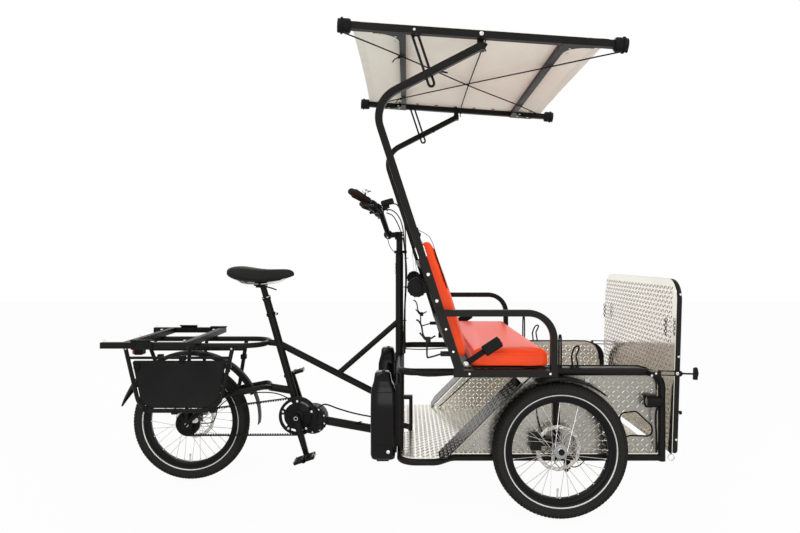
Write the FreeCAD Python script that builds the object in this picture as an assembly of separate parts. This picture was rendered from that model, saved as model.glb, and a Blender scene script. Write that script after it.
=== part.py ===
"""Cycle rickshaw: a rear bicycle half that pushes a steered two-wheeled passenger box.

Millimetres, +X forward, +Y to the rider's left, +Z up, ground at Z = 0.
Every piece is drawn with the steering axis at X = 0, and the whole is then moved
so that the origin is the centre of its footprint.
"""
import FreeCAD, Part
import os
from math import acos, atan2, cos, degrees, hypot, pi, radians, sin, sqrt, tan

V = FreeCAD.Vector
AXIS_Y = V(0, 1, 0)
AXIS_Z = V(0, 0, 1)
SIDES = (("right", -1), ("left", 1))
DRIVE_SIDE = -1

# Clearances
RUNNING = 0.05          # radial play of a shaft in its bore
SEAT = 0.3              # air between a soft or curved piece and what it sits on

# Wheels: 20 inch balloon tyres on deep rims
TYRE_R = 261.0
TYRE_WIDTH = 59.0
RIM_R = 208.0
RIM_DEPTH = 24.0
RIM_WIDTH = 32.0
SPOKES_PER_FLANGE = 16
SPOKE_R = 1.1
SPOKE_LEAN = 67.5       # degrees from flange hole to rim hole
HUB_R = 17.0
FLANGE_R = 30.0
FLANGE_OFFSET = 21.0
FLANGE_THICK = 3.0
ROTOR_R = 90.0
ROTOR_THICK = 2.0
ROTOR_OFFSET = 28.0     # from the wheel's mid plane to the rotor's middle

# Where the wheels stand
REAR_AXLE_X = -942.0
FRONT_AXLE_X = 623.0
TRACK_HALF = 456.0
FRONT_AXLE_R = 7.5
REAR_AXLE_R = 6.0

# Passenger box
BOX_REAR_X = 8.0
BOX_FRONT_X = 1036.0
RAIL_Y = 405.0
RAIL_R = 14.0
UPPER_Z = 553.0
LOWER_Z = 217.0
LOWER_R = 13.0
BULGE_Y = 465.0         # half width of the lower hoop behind the wheels
BULGE_X = 150.0
PIVOT_JOG_X = 52.0      # the lower hoop steps forward round the head tube
PIVOT_WEB_X = (PIVOT_JOG_X - 8, PIVOT_JOG_X + 8)
POST_R = 12.5
REAR_POST_Y = 340.0
SHEET = 3.0             # tread plate thickness
WALL_TOP_Z = 575.0
WALL_REAR_X = 167.0
WALL_CORNER = 75.0
SPLASH_LOW = (161.0, LOWER_Z + LOWER_R + SHEET)     # foot of the splash panel, as (x, z)
SPLASH_HIGH = (462.0, 534.0)                        # its top, on a line that clears the tyre
SPLASH_RUN = (SPLASH_HIGH[0] - SPLASH_LOW[0]) / (SPLASH_HIGH[1] - SPLASH_LOW[1])
SPLASH_OUT = 545.0
SPLASH_FOOT_OUT = 478.0  # its outer bottom corner is cut off from here
SPLASH_CORNER = 24.0
HAND_HOLE = (
    # x, z, corner radius
    (866.0, 268.0, 12.0), (905.0, 300.0, 60.0), (1004.0, 296.0, 22.0),
    (1004.0, 336.0, 26.0), (940.0, 396.0, 24.0), (878.0, 388.0, 22.0),
)
BATTERY_X = (-112.0, -12.0)
BATTERY_Y = (309.0, 399.0)
BATTERY_Z = (199.0, 548.0)

# Steering
POST_SHAFT_R = 14.25
HEAD_UPPER_R = 17.5
HEAD_LOWER_R = 21.0
HEAD_UPPER = (672.0, 1020.0)
HEAD_LOWER = (180.0, 360.0)
SHAFT = (163.0, 1114.0)
BOSS_R = 21.0

# Handlebar: the clamp's place, and the bar's bends from there as (x, y, z) steps
BAR_R = 11.1
BAR_CLAMP = (-50.0, 1106.0)
BAR = ((0.0, 0.0, 0.0), (0.0, 46.0, 0.0), (-38.0, 150.0, 112.0), (-143.0, 322.0, 166.0))
GRIP_R = 16.5
GRIP_LENGTH = 125.0
DISPLAY_X = (-26.0, 26.0)       # from the bar's clamp
DISPLAY_Y = (-165.0, -118.0)
DISPLAY_Z = (126.0, 140.0)

# Rear frame
BB_X = -455.0
BB_Z = 294.0
SEAT_TUBE_TOP = (-602.0, 810.0)
SEAT_TUBE_R = 17.0
FRAME_JOIN_Z = 612.0    # where the top tube and the rack's tube meet the seat tube
TOP_TUBE = (332.0, 15.0)               # height at the head tube, radius
BRACE = (-275.0, 478.0, 718.0, 12.5)   # rear end x and z, height at the head tube, radius
DOWN_TUBE = (112.0, 264.0, 202.0, 19.0)    # start ahead of the cranks, height there and at the head, radius
RACK_TUBE_R = 14.0
CHAINSTAY_STEM = (398.0, -590.0, 415.0, 17.0)   # height on the seat tube, rear end x and z, radius
CHAINSTAY_R = 11.0
CHAINSTAY = ((-578.0, 0.0, 413.0, 0.0), (-606.0, 60.0, 425.0, 30.0), (-784.0, 72.0, 390.0, 90.0))
DROPOUT_X = (-22.0, 26.0)      # from the rear axle
DROPOUT_Y = (69.0, 78.0)
DROPOUT_Z = (240.0, 292.0)
DROPOUT_MID_Z = 272.0
RACK_STAY_R = 8.0
RACK_STAY_RUN = 30.0
REAR_AXLE_HALF = 92.0
CRANK_AXLE_R = 10.0
BRACKET_R = 46.0
BRACKET_HALF = 40.0
DRUM = (66.0, -22.0, 62.0)     # motor's drum: ahead of the cranks, above them, radius
DRUM_Y = (-34.0, 38.0)
SADDLE_X = (-772.0, -478.0)
SADDLE_Z = 889.0
SADDLE_DEEP = 80.0
CLAMP_HEAD = 22.0       # the seat post's clamp, just under the saddle
CHAINLINE = 50.0
RING_R = 83.0
PULLEY_R = 52.0
BELT_WIDTH = 11.0
BELT_THICK = 3.5
CRANK = 168.0
CRANK_ANGLE = -74.0     # near arm, degrees above straight ahead
CRANK_INNER_Y = 82.0
CRANK_THICK = 14.0
PEDAL = (92.0, 92.0, 20.0)

# Rear rack
RACK_Z = 618.0
RACK_R = 11.5
RACK_HALF = 123.0
RACK_REAR_X = -1205.0
RACK_FRONT_X = -598.0
DECK_TUBE = 25.0
DECK_HALF = 287.0
DECK_X = (-1223.0, -868.0)
DECK_BARS_X = (-1126.0, -880.5)
HOOP_R = 9.0
HOOP = (
    # x, height from the rack, bend radius
    (-1195.0, 0.0, 0.0), (-1112.0, -277.0, 82.0), (-776.0, -277.0, 82.0), (-724.0, 0.0, 0.0),
)
HOOP_SPLAY = 8.5        # degrees that the hoops lean outwards
HOOP_BAR_DROP = 52.0    # inner bar below the rack
PANEL_THICK = 8.0
FENDER_R = 318.0
FENDER_WIDTH = 68.0

# Gate
HINGE_AHEAD = 28.0       # from the box's front to the gate's hinge
HINGE_X = BOX_FRONT_X + HINGE_AHEAD
HINGE_Z = 229.0
GATE_R = 12.0
GATE_HALF = 443.0
GATE_BOTTOM_Z = 257.0
GATE_TOP_Z = 907.0
GATE_CORNER = 72.0
GATE_LEAN = 1.75
GATE_SHEET = 2.0
GATE_AHEAD = 5.0
GATE_X = HINGE_X + GATE_AHEAD
HINGE_PIN_R = 5.0
HINGE_YS = (-300.0, 300.0)
HINGE_EAR_R = 11.0
LATCH_LIFT = 4.0        # latch's height above the upper rail's middle
LATCH_BACK = 42.0       # latch's reach behind the box's front
LATCH_BOSS_R = 11.0
LATCH_HANDLE_X = (58.0, 73.0)      # T handle ahead of the gate's tubes
LATCH_HANDLE_HALF = 22.0

# Bench
BENCH_Y = 588.0
BENCH_TUBE = 25.0
BENCH_LOW = UPPER_Z + RAIL_R            # the cross tubes rest on the hand rail
BENCH_TOP = BENCH_LOW + BENCH_TUBE
SEAT_BASE = BENCH_TOP + 4.0
BENCH_X = (205.0, 583.0)
BENCH_CROSS_X = (252.0, 545.0)
CUSHION_HALF = 555.0
CUSHION_EDGE = 17.0
SEAT_X = (268.0, 568.0)
SEAT_THICK = 66.0
BACK_THICK = 40.0
BACK_Z = (622.0, 1058.0)
BACK_BARS_Z = (700.0, 1000.0)
BACK_BAR = 24.0
BACK_FACE = 2.0         # front of the back bars, ahead of the posts' centreline
BOARD_THICK = 5.0
ARM_Z = 800.0
ARM_X = 571.0
ARM_CORNER = 95.0
ARM_TUBE = 24.0
RECLINE = 0.325         # how far the back posts run rearwards for each unit of height
BACK_POST = (32.0, 24.0)
BACK_POST_FOOT_X = 225.0
BACK_POST_TOP_Z = 1040.0
REEL_Z = 894.0
REEL_BEHIND = 46.0      # belt reel's middle behind the back post
REEL_R = 34.0
REEL_WIDTH = 30.0
BUCKLE_X = (250.0, 330.0)      # belt buckle's bolt and the foot of the buckle
BUCKLE_SLOPE = 33.0

# Canopy
CANOPY_Y = 613.0
CANOPY_POST = (27.0, 26.0)
CANOPY_POST_FOOT_Z = 827.0
CANOPY_BEND = 110.0
ARM_RISE = 0.515
ARM_END_X = 302.0
ARM_END_Z = 1767.0
TILT_Z = 1807.0
CANOPY_TILT = 4.0       # degrees, front low
RAIL_SIZE = 26.0
RAIL_REAR = -489.0      # along the rail from the tilt bolt
RAIL_FRONT = 500.0
COVER_AT = (-474.0, 460.0)
KNOB = (25.0, 30.0)
CROSS_AT = (-285.0, 308.0)
CROSS_SIZE = 24.0
TILT_PIN_R = 5.0
EAR_R = RAIL_SIZE / 2 - 1
STAY_AT = -242.0        # stay's bolt, along the rail from the tilt bolt
STAY_CLAMP_X = 112.0
STAY_LENGTH = 227.0
STAY_WIDTH = 30.0
STAY_SLOT = 12.0
STAY_DROP = 3.0         # strap's rounded end sits this far below its bolt, under the canvas
STAY_THICK = 5.0
STAY_Y = CANOPY_Y - RAIL_SIZE / 2 - 1 - STAY_THICK
CLAMP_R = 3.5


# ---------------------------------------------------------------- drawing helpers

def rod(start, end, radius):
    """Round bar between two points."""
    start = V(*start)
    run = V(*end) - start
    return Part.makeCylinder(radius, run.Length, start, run)


def box(x, y, z):
    """Block between two corners, given as three (low, high) pairs."""
    return Part.makeBox(x[1] - x[0], y[1] - y[0], z[1] - z[0], V(x[0], y[0], z[0]))


def side_span(side, inner, outer):
    """(low, high) in Y of a span that runs outwards on one side."""
    return tuple(sorted((side * inner, side * outer)))


def fuse(shapes):
    """One solid from shapes that meet."""
    return shapes[0].fuse(shapes[1:])


def group(shapes):
    """Several solids that don't touch, kept in one node."""
    return Part.makeCompound([solid for shape in shapes for solid in shape.Solids])


def bent_path(points, closed=False):
    """Straight runs joined by tangent arcs. Each point is (x, y, z, bend radius)."""
    spots = [V(*p[:3]) for p in points]
    bends = [p[3] for p in points]
    count = len(spots)
    corners = range(count) if closed else range(1, count - 1)
    arcs = {}
    for i in corners:
        here = spots[i]
        back = (spots[i - 1] - here).normalize()
        ahead = (spots[(i + 1) % count] - here).normalize()
        half = back.getAngle(ahead) / 2
        cut = bends[i] / tan(half)
        middle = here + (back + ahead).normalize() * (bends[i] / sin(half) - bends[i])
        arcs[i] = (here + back * cut, middle, here + ahead * cut)
    edges = []
    legs = range(count) if closed else range(count - 1)
    for i in legs:
        j = (i + 1) % count
        start = arcs[i][2] if i in arcs else spots[i]
        end = arcs[j][0] if j in arcs else spots[j]
        edges.append(Part.makeLine(start, end))
        if j in arcs:
            edges.append(Part.Arc(*arcs[j]).toShape())
    return Part.Wire(edges)


def bent_tube(points, radius, closed=False):
    """Round tube along a bent path."""
    wire = bent_path(points, closed)
    first = wire.Edges[0]
    start = first.valueAt(first.FirstParameter)
    ring = Part.Wire(Part.makeCircle(radius, start, first.tangentAt(first.FirstParameter)))
    return wire.makePipeShell([ring], True, True)


def flat_bar(points, depth, width, y_mid):
    """Rectangular tube bent in the XZ plane. Each point is (x, z, bend radius)."""
    wire = bent_path([(x, y_mid, z, bend) for x, z, bend in points])
    first = wire.Edges[0]
    start = first.valueAt(first.FirstParameter)
    along = first.tangentAt(first.FirstParameter)
    up = along.cross(AXIS_Y).normalize() * (depth / 2)
    out = AXIS_Y * (width / 2)
    corners = [start + up + out, start - up + out, start - up - out, start + up - out]
    section = Part.makePolygon(corners + [corners[0]])
    return wire.makePipeShell([section], True, True)


def revolved(outline, angle=360.0):
    """Turn a closed (y, radius) outline of lines and arcs about the Y axis."""
    return Part.Face(Part.Wire(outline)).revolve(V(0, 0, 0), AXIS_Y, angle)


def polygon_ring(points):
    """Solid ring from a (y, radius) polygon about the Y axis."""
    spots = [V(0, y, r) for y, r in points]
    return revolved([Part.makePolygon(spots + [spots[0]])])


def side_plate(points, y):
    """Flat plate from an (x, z) polygon, between two Y values."""
    spots = [V(x, y[0], z) for x, z in points]
    face = Part.Face(Part.makePolygon(spots + [spots[0]]))
    return face.extrude(V(0, y[1] - y[0], 0))


def y_disc(x, z, radius, y):
    """Round disc across the machine, between two Y values."""
    return rod((x, y[0], z), (x, y[1], z), radius)


# ---------------------------------------------------------------- wheels

def tyre():
    """Balloon tyre about the Y axis, closed at the rim."""
    half = TYRE_WIDTH / 2
    bead = RIM_WIDTH / 2 - 2
    low = RIM_R + SEAT
    shoulder_y = half * 0.72
    shoulder_r = TYRE_R - 7
    belly_r = (low + shoulder_r) / 2

    def arc(a, b, c):
        return Part.Arc(V(0, *a), V(0, *b), V(0, *c)).toShape()
    outline = [
        Part.makeLine(V(0, bead, low), V(0, -bead, low)),
        arc((-bead, low), (-half, belly_r), (-shoulder_y, shoulder_r)),
        arc((-shoulder_y, shoulder_r), (0, TYRE_R), (shoulder_y, shoulder_r)),
        arc((shoulder_y, shoulder_r), (half, belly_r), (bead, low)),
    ]
    return revolved(outline)


def spokes(flange_y):
    """Crossed spokes of one flange, alternately heads in and heads out."""
    made = []
    step = 360.0 / SPOKES_PER_FLANGE
    turn = step / 2 if flange_y > 0 else 0.0
    for k in range(SPOKES_PER_FLANGE):
        way = 1 if k % 2 else -1
        a = radians(k * step + turn)
        b = radians(k * step + turn + way * SPOKE_LEAN)
        hole_r = FLANGE_R - 2.5
        rim_r = RIM_R - RIM_DEPTH + 4
        start = (hole_r * cos(a), flange_y + way * 2.6, hole_r * sin(a))
        end = (rim_r * cos(b), (2.5 if flange_y > 0 else -2.5), rim_r * sin(b))
        made.append(rod(start, end, SPOKE_R))
    return made


def wheel(bore_r, hub_r, boss_y, boss_r):
    """Rim, crossed spokes and hub shell. boss_y is (low, high) of the hub's full length."""
    rim_half = RIM_WIDTH / 2
    inner = RIM_R - RIM_DEPTH
    rim = polygon_ring([(-rim_half, RIM_R), (rim_half, RIM_R), (rim_half, RIM_R - 9),
                        (7, inner), (-7, inner), (-rim_half, RIM_R - 9)])
    hub = [y_disc(0, 0, hub_r, (-FLANGE_OFFSET, FLANGE_OFFSET)), y_disc(0, 0, boss_r, boss_y)]
    for middle in (-FLANGE_OFFSET, FLANGE_OFFSET):
        span = (middle - FLANGE_THICK / 2, middle + FLANGE_THICK / 2)
        hub.append(y_disc(0, 0, max(FLANGE_R, hub_r), span))
    laced = spokes(-FLANGE_OFFSET) + spokes(FLANGE_OFFSET)
    bore = y_disc(0, 0, bore_r, (boss_y[0] - 1, boss_y[1] + 1))
    return fuse([rim] + hub + laced).cut(bore)


def rotor(bore_r, arms=6):
    """Brake disc: a braking ring on curved-back arms."""
    half = ROTOR_THICK / 2
    ring = y_disc(0, 0, ROTOR_R, (-half, half)).cut(y_disc(0, 0, ROTOR_R - 16, (-half, half)))
    middle = y_disc(0, 0, 28, (-half, half))
    made = [ring, middle]
    for k in range(arms):
        a = radians(k * 360.0 / arms)
        b = a + radians(28)
        p, q = (24 * cos(a), 24 * sin(a)), ((ROTOR_R - 12) * cos(b), (ROTOR_R - 12) * sin(b))
        across = V(q[1] - p[1], 0, p[0] - q[0]).normalize() * 4.5
        corners = [(p[0] + across.x, p[1] + across.z), (q[0] + across.x, q[1] + across.z),
                   (q[0] - across.x, q[1] - across.z), (p[0] - across.x, p[1] - across.z)]
        made.append(side_plate(corners, (-half, half)))
    return fuse(made).cut(y_disc(0, 0, bore_r, (-half, half)))


def front_wheel_nodes(nodes):
    """Tyre, wheel and rotor of both front wheels, with the rotors on the inner side."""
    ring = tyre()
    inward = ROTOR_OFFSET - ROTOR_THICK / 2
    laced = wheel(FRONT_AXLE_R + RUNNING, HUB_R, (-FLANGE_OFFSET - 4, inward), 20)
    disc = rotor(20 + RUNNING)
    for name, side in SIDES:
        place = V(FRONT_AXLE_X, side * TRACK_HALF, TYRE_R)
        turn = 180 if side > 0 else 0
        for part, shape in (("tyre", ring), ("wheel", laced)):
            piece = shape.copy()
            piece.rotate(V(0, 0, 0), AXIS_Z, turn)
            nodes[f"{name}_front_{part}"] = piece.translated(place)
        seat = V(0, -side * (inward + ROTOR_THICK / 2), 0)
        nodes[f"{name}_front_rotor"] = disc.translated(place + seat)


def rear_wheel_nodes(nodes):
    """Rear tyre, geared hub wheel, belt pulley and rotor."""
    place = V(REAR_AXLE_X, 0, TYRE_R)
    nodes["rear_tyre"] = tyre().translated(place)
    hub_end = CHAINLINE + BELT_WIDTH / 2 + 4
    laced = wheel(REAR_AXLE_R + RUNNING, 38, (-hub_end, hub_end), 24)
    nodes["rear_wheel"] = laced.translated(place)
    pulley_span = (-CHAINLINE - BELT_WIDTH / 2 - 2, -CHAINLINE + BELT_WIDTH / 2 + 2)
    pulley = fuse([y_disc(0, 0, PULLEY_R - SEAT, pulley_span),
                   y_disc(0, 0, 40, (pulley_span[0] - 1, pulley_span[1] + 3))])
    pulley = pulley.cut(y_disc(0, 0, 24 + RUNNING, (-90, 0)))
    nodes["rear_pulley"] = pulley.translated(place)
    nodes["rear_rotor"] = rotor(24 + RUNNING).translated(place + V(0, CHAINLINE, 0))


# ---------------------------------------------------------------- rear half

def seat_line(z):
    """X of the seat tube's axis at a height."""
    slope = (SEAT_TUBE_TOP[0] - BB_X) / (SEAT_TUBE_TOP[1] - BB_Z)
    return BB_X + slope * (z - BB_Z)


def motor():
    """Mid drive: a bracket barrel and the motor's drum in front of it."""
    barrel = y_disc(BB_X, BB_Z, BRACKET_R, (-BRACKET_HALF, BRACKET_HALF))
    drum_x, drum_z, drum_r = DRUM
    drum = y_disc(BB_X + drum_x, BB_Z + drum_z, drum_r, DRUM_Y)
    bridge = side_plate([(BB_X, BB_Z + 42), (BB_X + 80, BB_Z + 33),
                         (BB_X + 62, BB_Z - 78), (BB_X, BB_Z - 42)], (DRUM_Y[0] + 2, DRUM_Y[1] - 2))
    bore = y_disc(BB_X, BB_Z, CRANK_AXLE_R + RUNNING, (-BRACKET_HALF - 1, BRACKET_HALF + 1))
    return fuse([barrel, drum, bridge]).cut(bore)


def rack_loop_points():
    """The rack's hairpin tube, open at the rear."""
    rear, front, half = RACK_REAR_X, RACK_FRONT_X, RACK_HALF
    return [(rear, -half, RACK_Z, 0), (front, -half, RACK_Z, 95),
            (front, half, RACK_Z, 95), (rear, half, RACK_Z, 0)]


def rack_loop():
    """Hairpin tube with a cross tube at the rear and one over the axle."""
    loop = bent_tube(rack_loop_points(), RACK_R)
    bars = [rod((x, -RACK_HALF, RACK_Z), (x, RACK_HALF, RACK_Z), 8)
            for x in (RACK_REAR_X + 12, REAR_AXLE_X)]
    return fuse([loop] + bars)


def main_frame(motor_shape, rack_shape):
    """Welded rear frame with its two head tubes and the fixed rear axle."""
    low_x = BB_X + DOWN_TUBE[0]
    stem_z, stem_x, stem_end_z, stem_r = CHAINSTAY_STEM
    tubes = [
        # x1, z1, x2, z2, radius
        (seat_line(FRAME_JOIN_Z), FRAME_JOIN_Z, 0, TOP_TUBE[0], TOP_TUBE[1]),
        (BRACE[0], BRACE[1], 0, BRACE[2], BRACE[3]),
        (low_x, DOWN_TUBE[1], 0, DOWN_TUBE[2], DOWN_TUBE[3]),
        (BB_X, BB_Z, SEAT_TUBE_TOP[0], SEAT_TUBE_TOP[1], SEAT_TUBE_R),
        (seat_line(FRAME_JOIN_Z), FRAME_JOIN_Z, RACK_FRONT_X, RACK_Z, RACK_TUBE_R),
        (seat_line(stem_z), stem_z, stem_x, stem_end_z, stem_r),
    ]
    shapes = [rod((x1, 0, z1), (x2, 0, z2), r) for x1, z1, x2, z2, r in tubes]
    shapes.append(rod((0, 0, HEAD_UPPER[0]), (0, 0, HEAD_UPPER[1]), HEAD_UPPER_R))
    shapes.append(rod((0, 0, HEAD_LOWER[0]), (0, 0, HEAD_LOWER[1]), HEAD_LOWER_R))
    for side in (-1, 1):
        stay = [(x, side * y, z, bend) for x, y, z, bend in CHAINSTAY]
        stay.append((REAR_AXLE_X, side * DROPOUT_Y[1], DROPOUT_MID_Z, 0))
        shapes.append(bent_tube(stay, CHAINSTAY_R))
        shapes.append(rod((REAR_AXLE_X, side * (DROPOUT_Y[1] + 2), DROPOUT_MID_Z),
                          (REAR_AXLE_X + RACK_STAY_RUN, side * RACK_HALF, RACK_Z), RACK_STAY_R))
        shapes.append(box((REAR_AXLE_X + DROPOUT_X[0], REAR_AXLE_X + DROPOUT_X[1]),
                          side_span(side, *DROPOUT_Y), DROPOUT_Z))
    shapes.append(y_disc(REAR_AXLE_X, TYRE_R, REAR_AXLE_R, (-REAR_AXLE_HALF, REAR_AXLE_HALF)))
    frame = fuse(shapes)
    frame = frame.cut(rod((0, 0, 100), (0, 0, 1200), POST_SHAFT_R + RUNNING))
    room = BRACKET_HALF + 1
    spindle_room = y_disc(BB_X, BB_Z, CRANK_AXLE_R + 2, (-room, room))
    return frame.cut([motor_shape, rack_shape, spindle_room])


def seat_post():
    """Seat post from the seat tube's mouth to the saddle clamp, with the quick release."""
    top_z, clamp_z = SEAT_TUBE_TOP[1], SADDLE_Z - SEAT
    x = seat_line(clamp_z)
    post = rod((seat_line(top_z), 0, top_z), (seat_line(clamp_z - 8), 0, clamp_z - 8), 14)
    head = box((x - 24, x + 20), (-22, 22), (clamp_z - CLAMP_HEAD, clamp_z))
    collar_z = top_z + 4
    collar = rod((seat_line(top_z), 0, top_z), (seat_line(top_z + 16), 0, top_z + 16), 19)
    lever = rod((seat_line(collar_z), 0, collar_z + 6), (seat_line(collar_z), -48, collar_z + 10), 4)
    return fuse([post, head, collar, lever])


def saddle():
    """Wide-tailed saddle: its plan cut to its side outline."""
    (rear, nose), base = SADDLE_X, SADDLE_Z
    half = [(nose, 14), (nose - 110, 24), (nose - 190, 62), (rear + 38, 84), (rear, 66)]
    outline = [V(x, -y, base) for x, y in half] + [V(x, y, base) for x, y in reversed(half)]
    block = Part.Face(Part.makePolygon(outline + [outline[0]])).extrude(V(0, 0, SADDLE_DEEP))
    profile = [(nose, base + 33), (nose - 4, base + 50), (nose - 24, base + 61), (rear + 122, base + 65),
               (rear + 72, base + 75), (rear + 38, base + 76), (rear, base + 61), (rear + 8, base + 26),
               (rear + 42, base + 9), (rear + 84, base), (rear + 180, base), (nose - 24, base + 23)]
    return block.common(side_plate(profile, (-SADDLE_DEEP - 10, SADDLE_DEEP + 10)))


def belt():
    """Toothed drive belt: a thin loop round the ring and the pulley."""
    def outline(grow):
        r1, r2 = RING_R + grow, PULLEY_R + grow
        dx, dz = REAR_AXLE_X - BB_X, TYRE_R - BB_Z
        far = hypot(dx, dz)
        base = atan2(dz, dx)
        lean = acos((r1 - r2) / far)
        spots = []
        for turn in (lean, -lean):
            c, s = cos(base + turn), sin(base + turn)
            spots.append((V(BB_X + r1 * c, 0, BB_Z + r1 * s),
                          V(REAR_AXLE_X + r2 * c, 0, TYRE_R + r2 * s)))
        (a1, a2), (b1, b2) = spots
        front = V(BB_X - r1 * cos(base), 0, BB_Z - r1 * sin(base))
        back = V(REAR_AXLE_X + r2 * cos(base), 0, TYRE_R + r2 * sin(base))
        wire = Part.Wire([Part.makeLine(a1, a2), Part.Arc(a2, back, b2).toShape(),
                          Part.makeLine(b2, b1), Part.Arc(b1, front, a1).toShape()])
        face = Part.Face(wire)
        face.translate(V(0, -CHAINLINE - BELT_WIDTH / 2, 0))
        return face.extrude(V(0, BELT_WIDTH, 0))
    return outline(BELT_THICK).cut(outline(SEAT))


def crank_point(way):
    """Pedal axle centre of the near (1) or far (-1) crank arm."""
    a = radians(CRANK_ANGLE)
    return BB_X + way * CRANK * cos(a), BB_Z + way * CRANK * sin(a)


def crankset():
    """Spindle, belt ring on its spider, and both crank arms."""
    reach = CRANK_INNER_Y + CRANK_THICK
    half = BELT_WIDTH / 2 - 1
    ring_y = (-CHAINLINE - half, -CHAINLINE + half)
    ring = y_disc(BB_X, BB_Z, RING_R, ring_y).cut(y_disc(BB_X, BB_Z, RING_R - 13, ring_y))
    made = [y_disc(BB_X, BB_Z, CRANK_AXLE_R, (-reach, reach)), ring, y_disc(BB_X, BB_Z, 24, ring_y)]
    for k in range(5):
        a = radians(90 + 72 * k)
        tip = (BB_X + (RING_R - 8) * cos(a), BB_Z + (RING_R - 8) * sin(a))
        across = (8 * sin(a), -8 * cos(a))
        root = (1.6 * across[0], 1.6 * across[1])
        corners = [(BB_X + root[0], BB_Z + root[1]), (tip[0] + across[0], tip[1] + across[1]),
                   (tip[0] - across[0], tip[1] - across[1]), (BB_X - root[0], BB_Z - root[1])]
        made.append(side_plate(corners, (-CHAINLINE - 2.5, -CHAINLINE + 2.5)))
    for side, way in ((-1, 1), (1, -1)):
        x, z = crank_point(way)
        span = side_span(side, CRANK_INNER_Y, reach)
        a = radians(CRANK_ANGLE)
        wide, slim = (16 * sin(a), -16 * cos(a)), (11 * sin(a), -11 * cos(a))
        corners = [(BB_X + wide[0], BB_Z + wide[1]), (x + slim[0], z + slim[1]),
                   (x - slim[0], z - slim[1]), (BB_X - wide[0], BB_Z - wide[1])]
        made += [side_plate(corners, span), y_disc(BB_X, BB_Z, 17, span), y_disc(x, z, 13, span)]
        made.append(y_disc(x, z, 4.5, side_span(side, reach - 2, reach + PEDAL[1] + 2)))
    return fuse(made)


def pedal(side, way):
    """Cage pedal on its axle."""
    x, z = crank_point(way)
    inner = CRANK_INNER_Y + CRANK_THICK + 5
    outer = inner + PEDAL[1] - 12
    length, height = PEDAL[0] / 2, PEDAL[2] / 2
    cage = box((x - length, x + length), side_span(side, inner, outer), (z - height, z + height))
    for x1, x2 in ((x - length + 8, x - 14), (x + 14, x + length - 8)):
        cage = cage.cut(box((x1, x2), side_span(side, inner + 8, outer - 8), (z - 30, z + 30)))
    cage = cage.cut(y_disc(x, z, 4.5 + RUNNING, side_span(side, inner - 1, outer + 20)))
    cage.rotate(V(x, 0, z), AXIS_Y, -18 * way)
    return cage


def rack_deck():
    """Square-tube platform on the rack: two side rails and two cross bars."""
    low = RACK_Z + RACK_R
    z = (low, low + DECK_TUBE)
    half = DECK_TUBE / 2
    made = [box(DECK_X, (y - half, y + half), z) for y in (-DECK_HALF, DECK_HALF)]
    made += [box((x - half, x + half), (-DECK_HALF, DECK_HALF), z) for x in DECK_BARS_X]
    pad_x = (DECK_BARS_X[0] + 185, DECK_BARS_X[0] + 262)
    pad = box(pad_x, (DECK_HALF - 18, DECK_HALF + 12), (z[1], z[1] + 6))
    clamp = box((DECK_X[0] + 130, DECK_X[0] + 215), (-DECK_HALF - half - 9, -DECK_HALF - half + 1),
                (z[0] - 3, z[1] + 4))
    return fuse(made + [pad, clamp])


def hoop_nodes(nodes):
    """Pannier hoops under the rack, and the fabric panel laced into the right one."""
    hoops = []
    for side in (-1, 1):
        start = V(0, side * RACK_HALF, RACK_Z)
        points = [(x, side * RACK_HALF, RACK_Z + z, bend) for x, z, bend in HOOP]
        tube = bent_tube(points, HOOP_R)
        bar = rod((HOOP[0][0] + 15, side * RACK_HALF, RACK_Z - HOOP_BAR_DROP),
                  (HOOP[3][0] - 8, side * RACK_HALF, RACK_Z - HOOP_BAR_DROP), 6)
        inset = HOOP_R + SEAT
        top = -HOOP_BAR_DROP - 10
        outline = bent_path([(HOOP[0][0] + 19 + inset, 0, top, 10),
                             (HOOP[1][0] + inset, 0, HOOP[1][1] + inset, 70),
                             (HOOP[2][0] - inset, 0, HOOP[2][1] + inset, 70),
                             (HOOP[3][0] - 12 - inset, 0, top, 10)], True)
        panel = Part.Face(outline).extrude(V(0, PANEL_THICK, 0))
        panel = panel.translated(V(0, side * RACK_HALF - PANEL_THICK / 2, RACK_Z))
        hoop = fuse([tube, bar])
        for shape in (hoop, panel):
            shape.rotate(start, V(1, 0, 0), side * HOOP_SPLAY)
        hoops.append(hoop)
        if side == DRIVE_SIDE:
            nodes["pannier_right"] = panel
    rack = nodes["rack_loop"]
    nodes["pannier_hoops"] = group([hoop.cut(rack) for hoop in hoops])


def rear_fender():
    """Mudguard over the rear wheel, with its two brackets."""
    half = FENDER_WIDTH / 2
    thick = 3.0
    low, flat = FENDER_R - 16, half - 12
    top = FENDER_R + thick
    shell = polygon_ring([(-half, low), (-flat, FENDER_R), (flat, FENDER_R), (half, low),
                          (half, low + thick), (flat + 1, top), (-flat - 1, top), (-half, low + thick)])
    reach = 2 * FENDER_R
    first, last = radians(24), radians(166)
    keep = side_plate([(0, 0), (reach * cos(first), reach * sin(first)), (reach, reach), (-reach, reach),
                       (reach * cos(last), reach * sin(last))], (-half - 1, half + 1))
    shell = shell.common(keep).translated(V(REAR_AXLE_X, 0, TYRE_R))
    top = TYRE_R + FENDER_R + thick
    hanger = box((REAR_AXLE_X - 9, REAR_AXLE_X + 9), (-12, 12), (top - 1, RACK_Z - 8 + 0.5))
    angle = radians(31)
    spot = (REAR_AXLE_X + (FENDER_R + 2) * cos(angle), TYRE_R + (FENDER_R + 2) * sin(angle))
    arm = rod((spot[0], 0, spot[1]), (-612, 0, 424), 5)
    return fuse([shell, hanger, arm])


def rear_light():
    """Lamp under the rear end of the rack."""
    x = RACK_REAR_X + 12
    stem = box((x - 5, x + 5), (-8, 8), (RACK_Z - 30, RACK_Z - 8.2))
    body = box((x - 14, x + 34), (-26, 26), (RACK_Z - 60, RACK_Z - 28))
    return fuse([stem, body])


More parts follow.
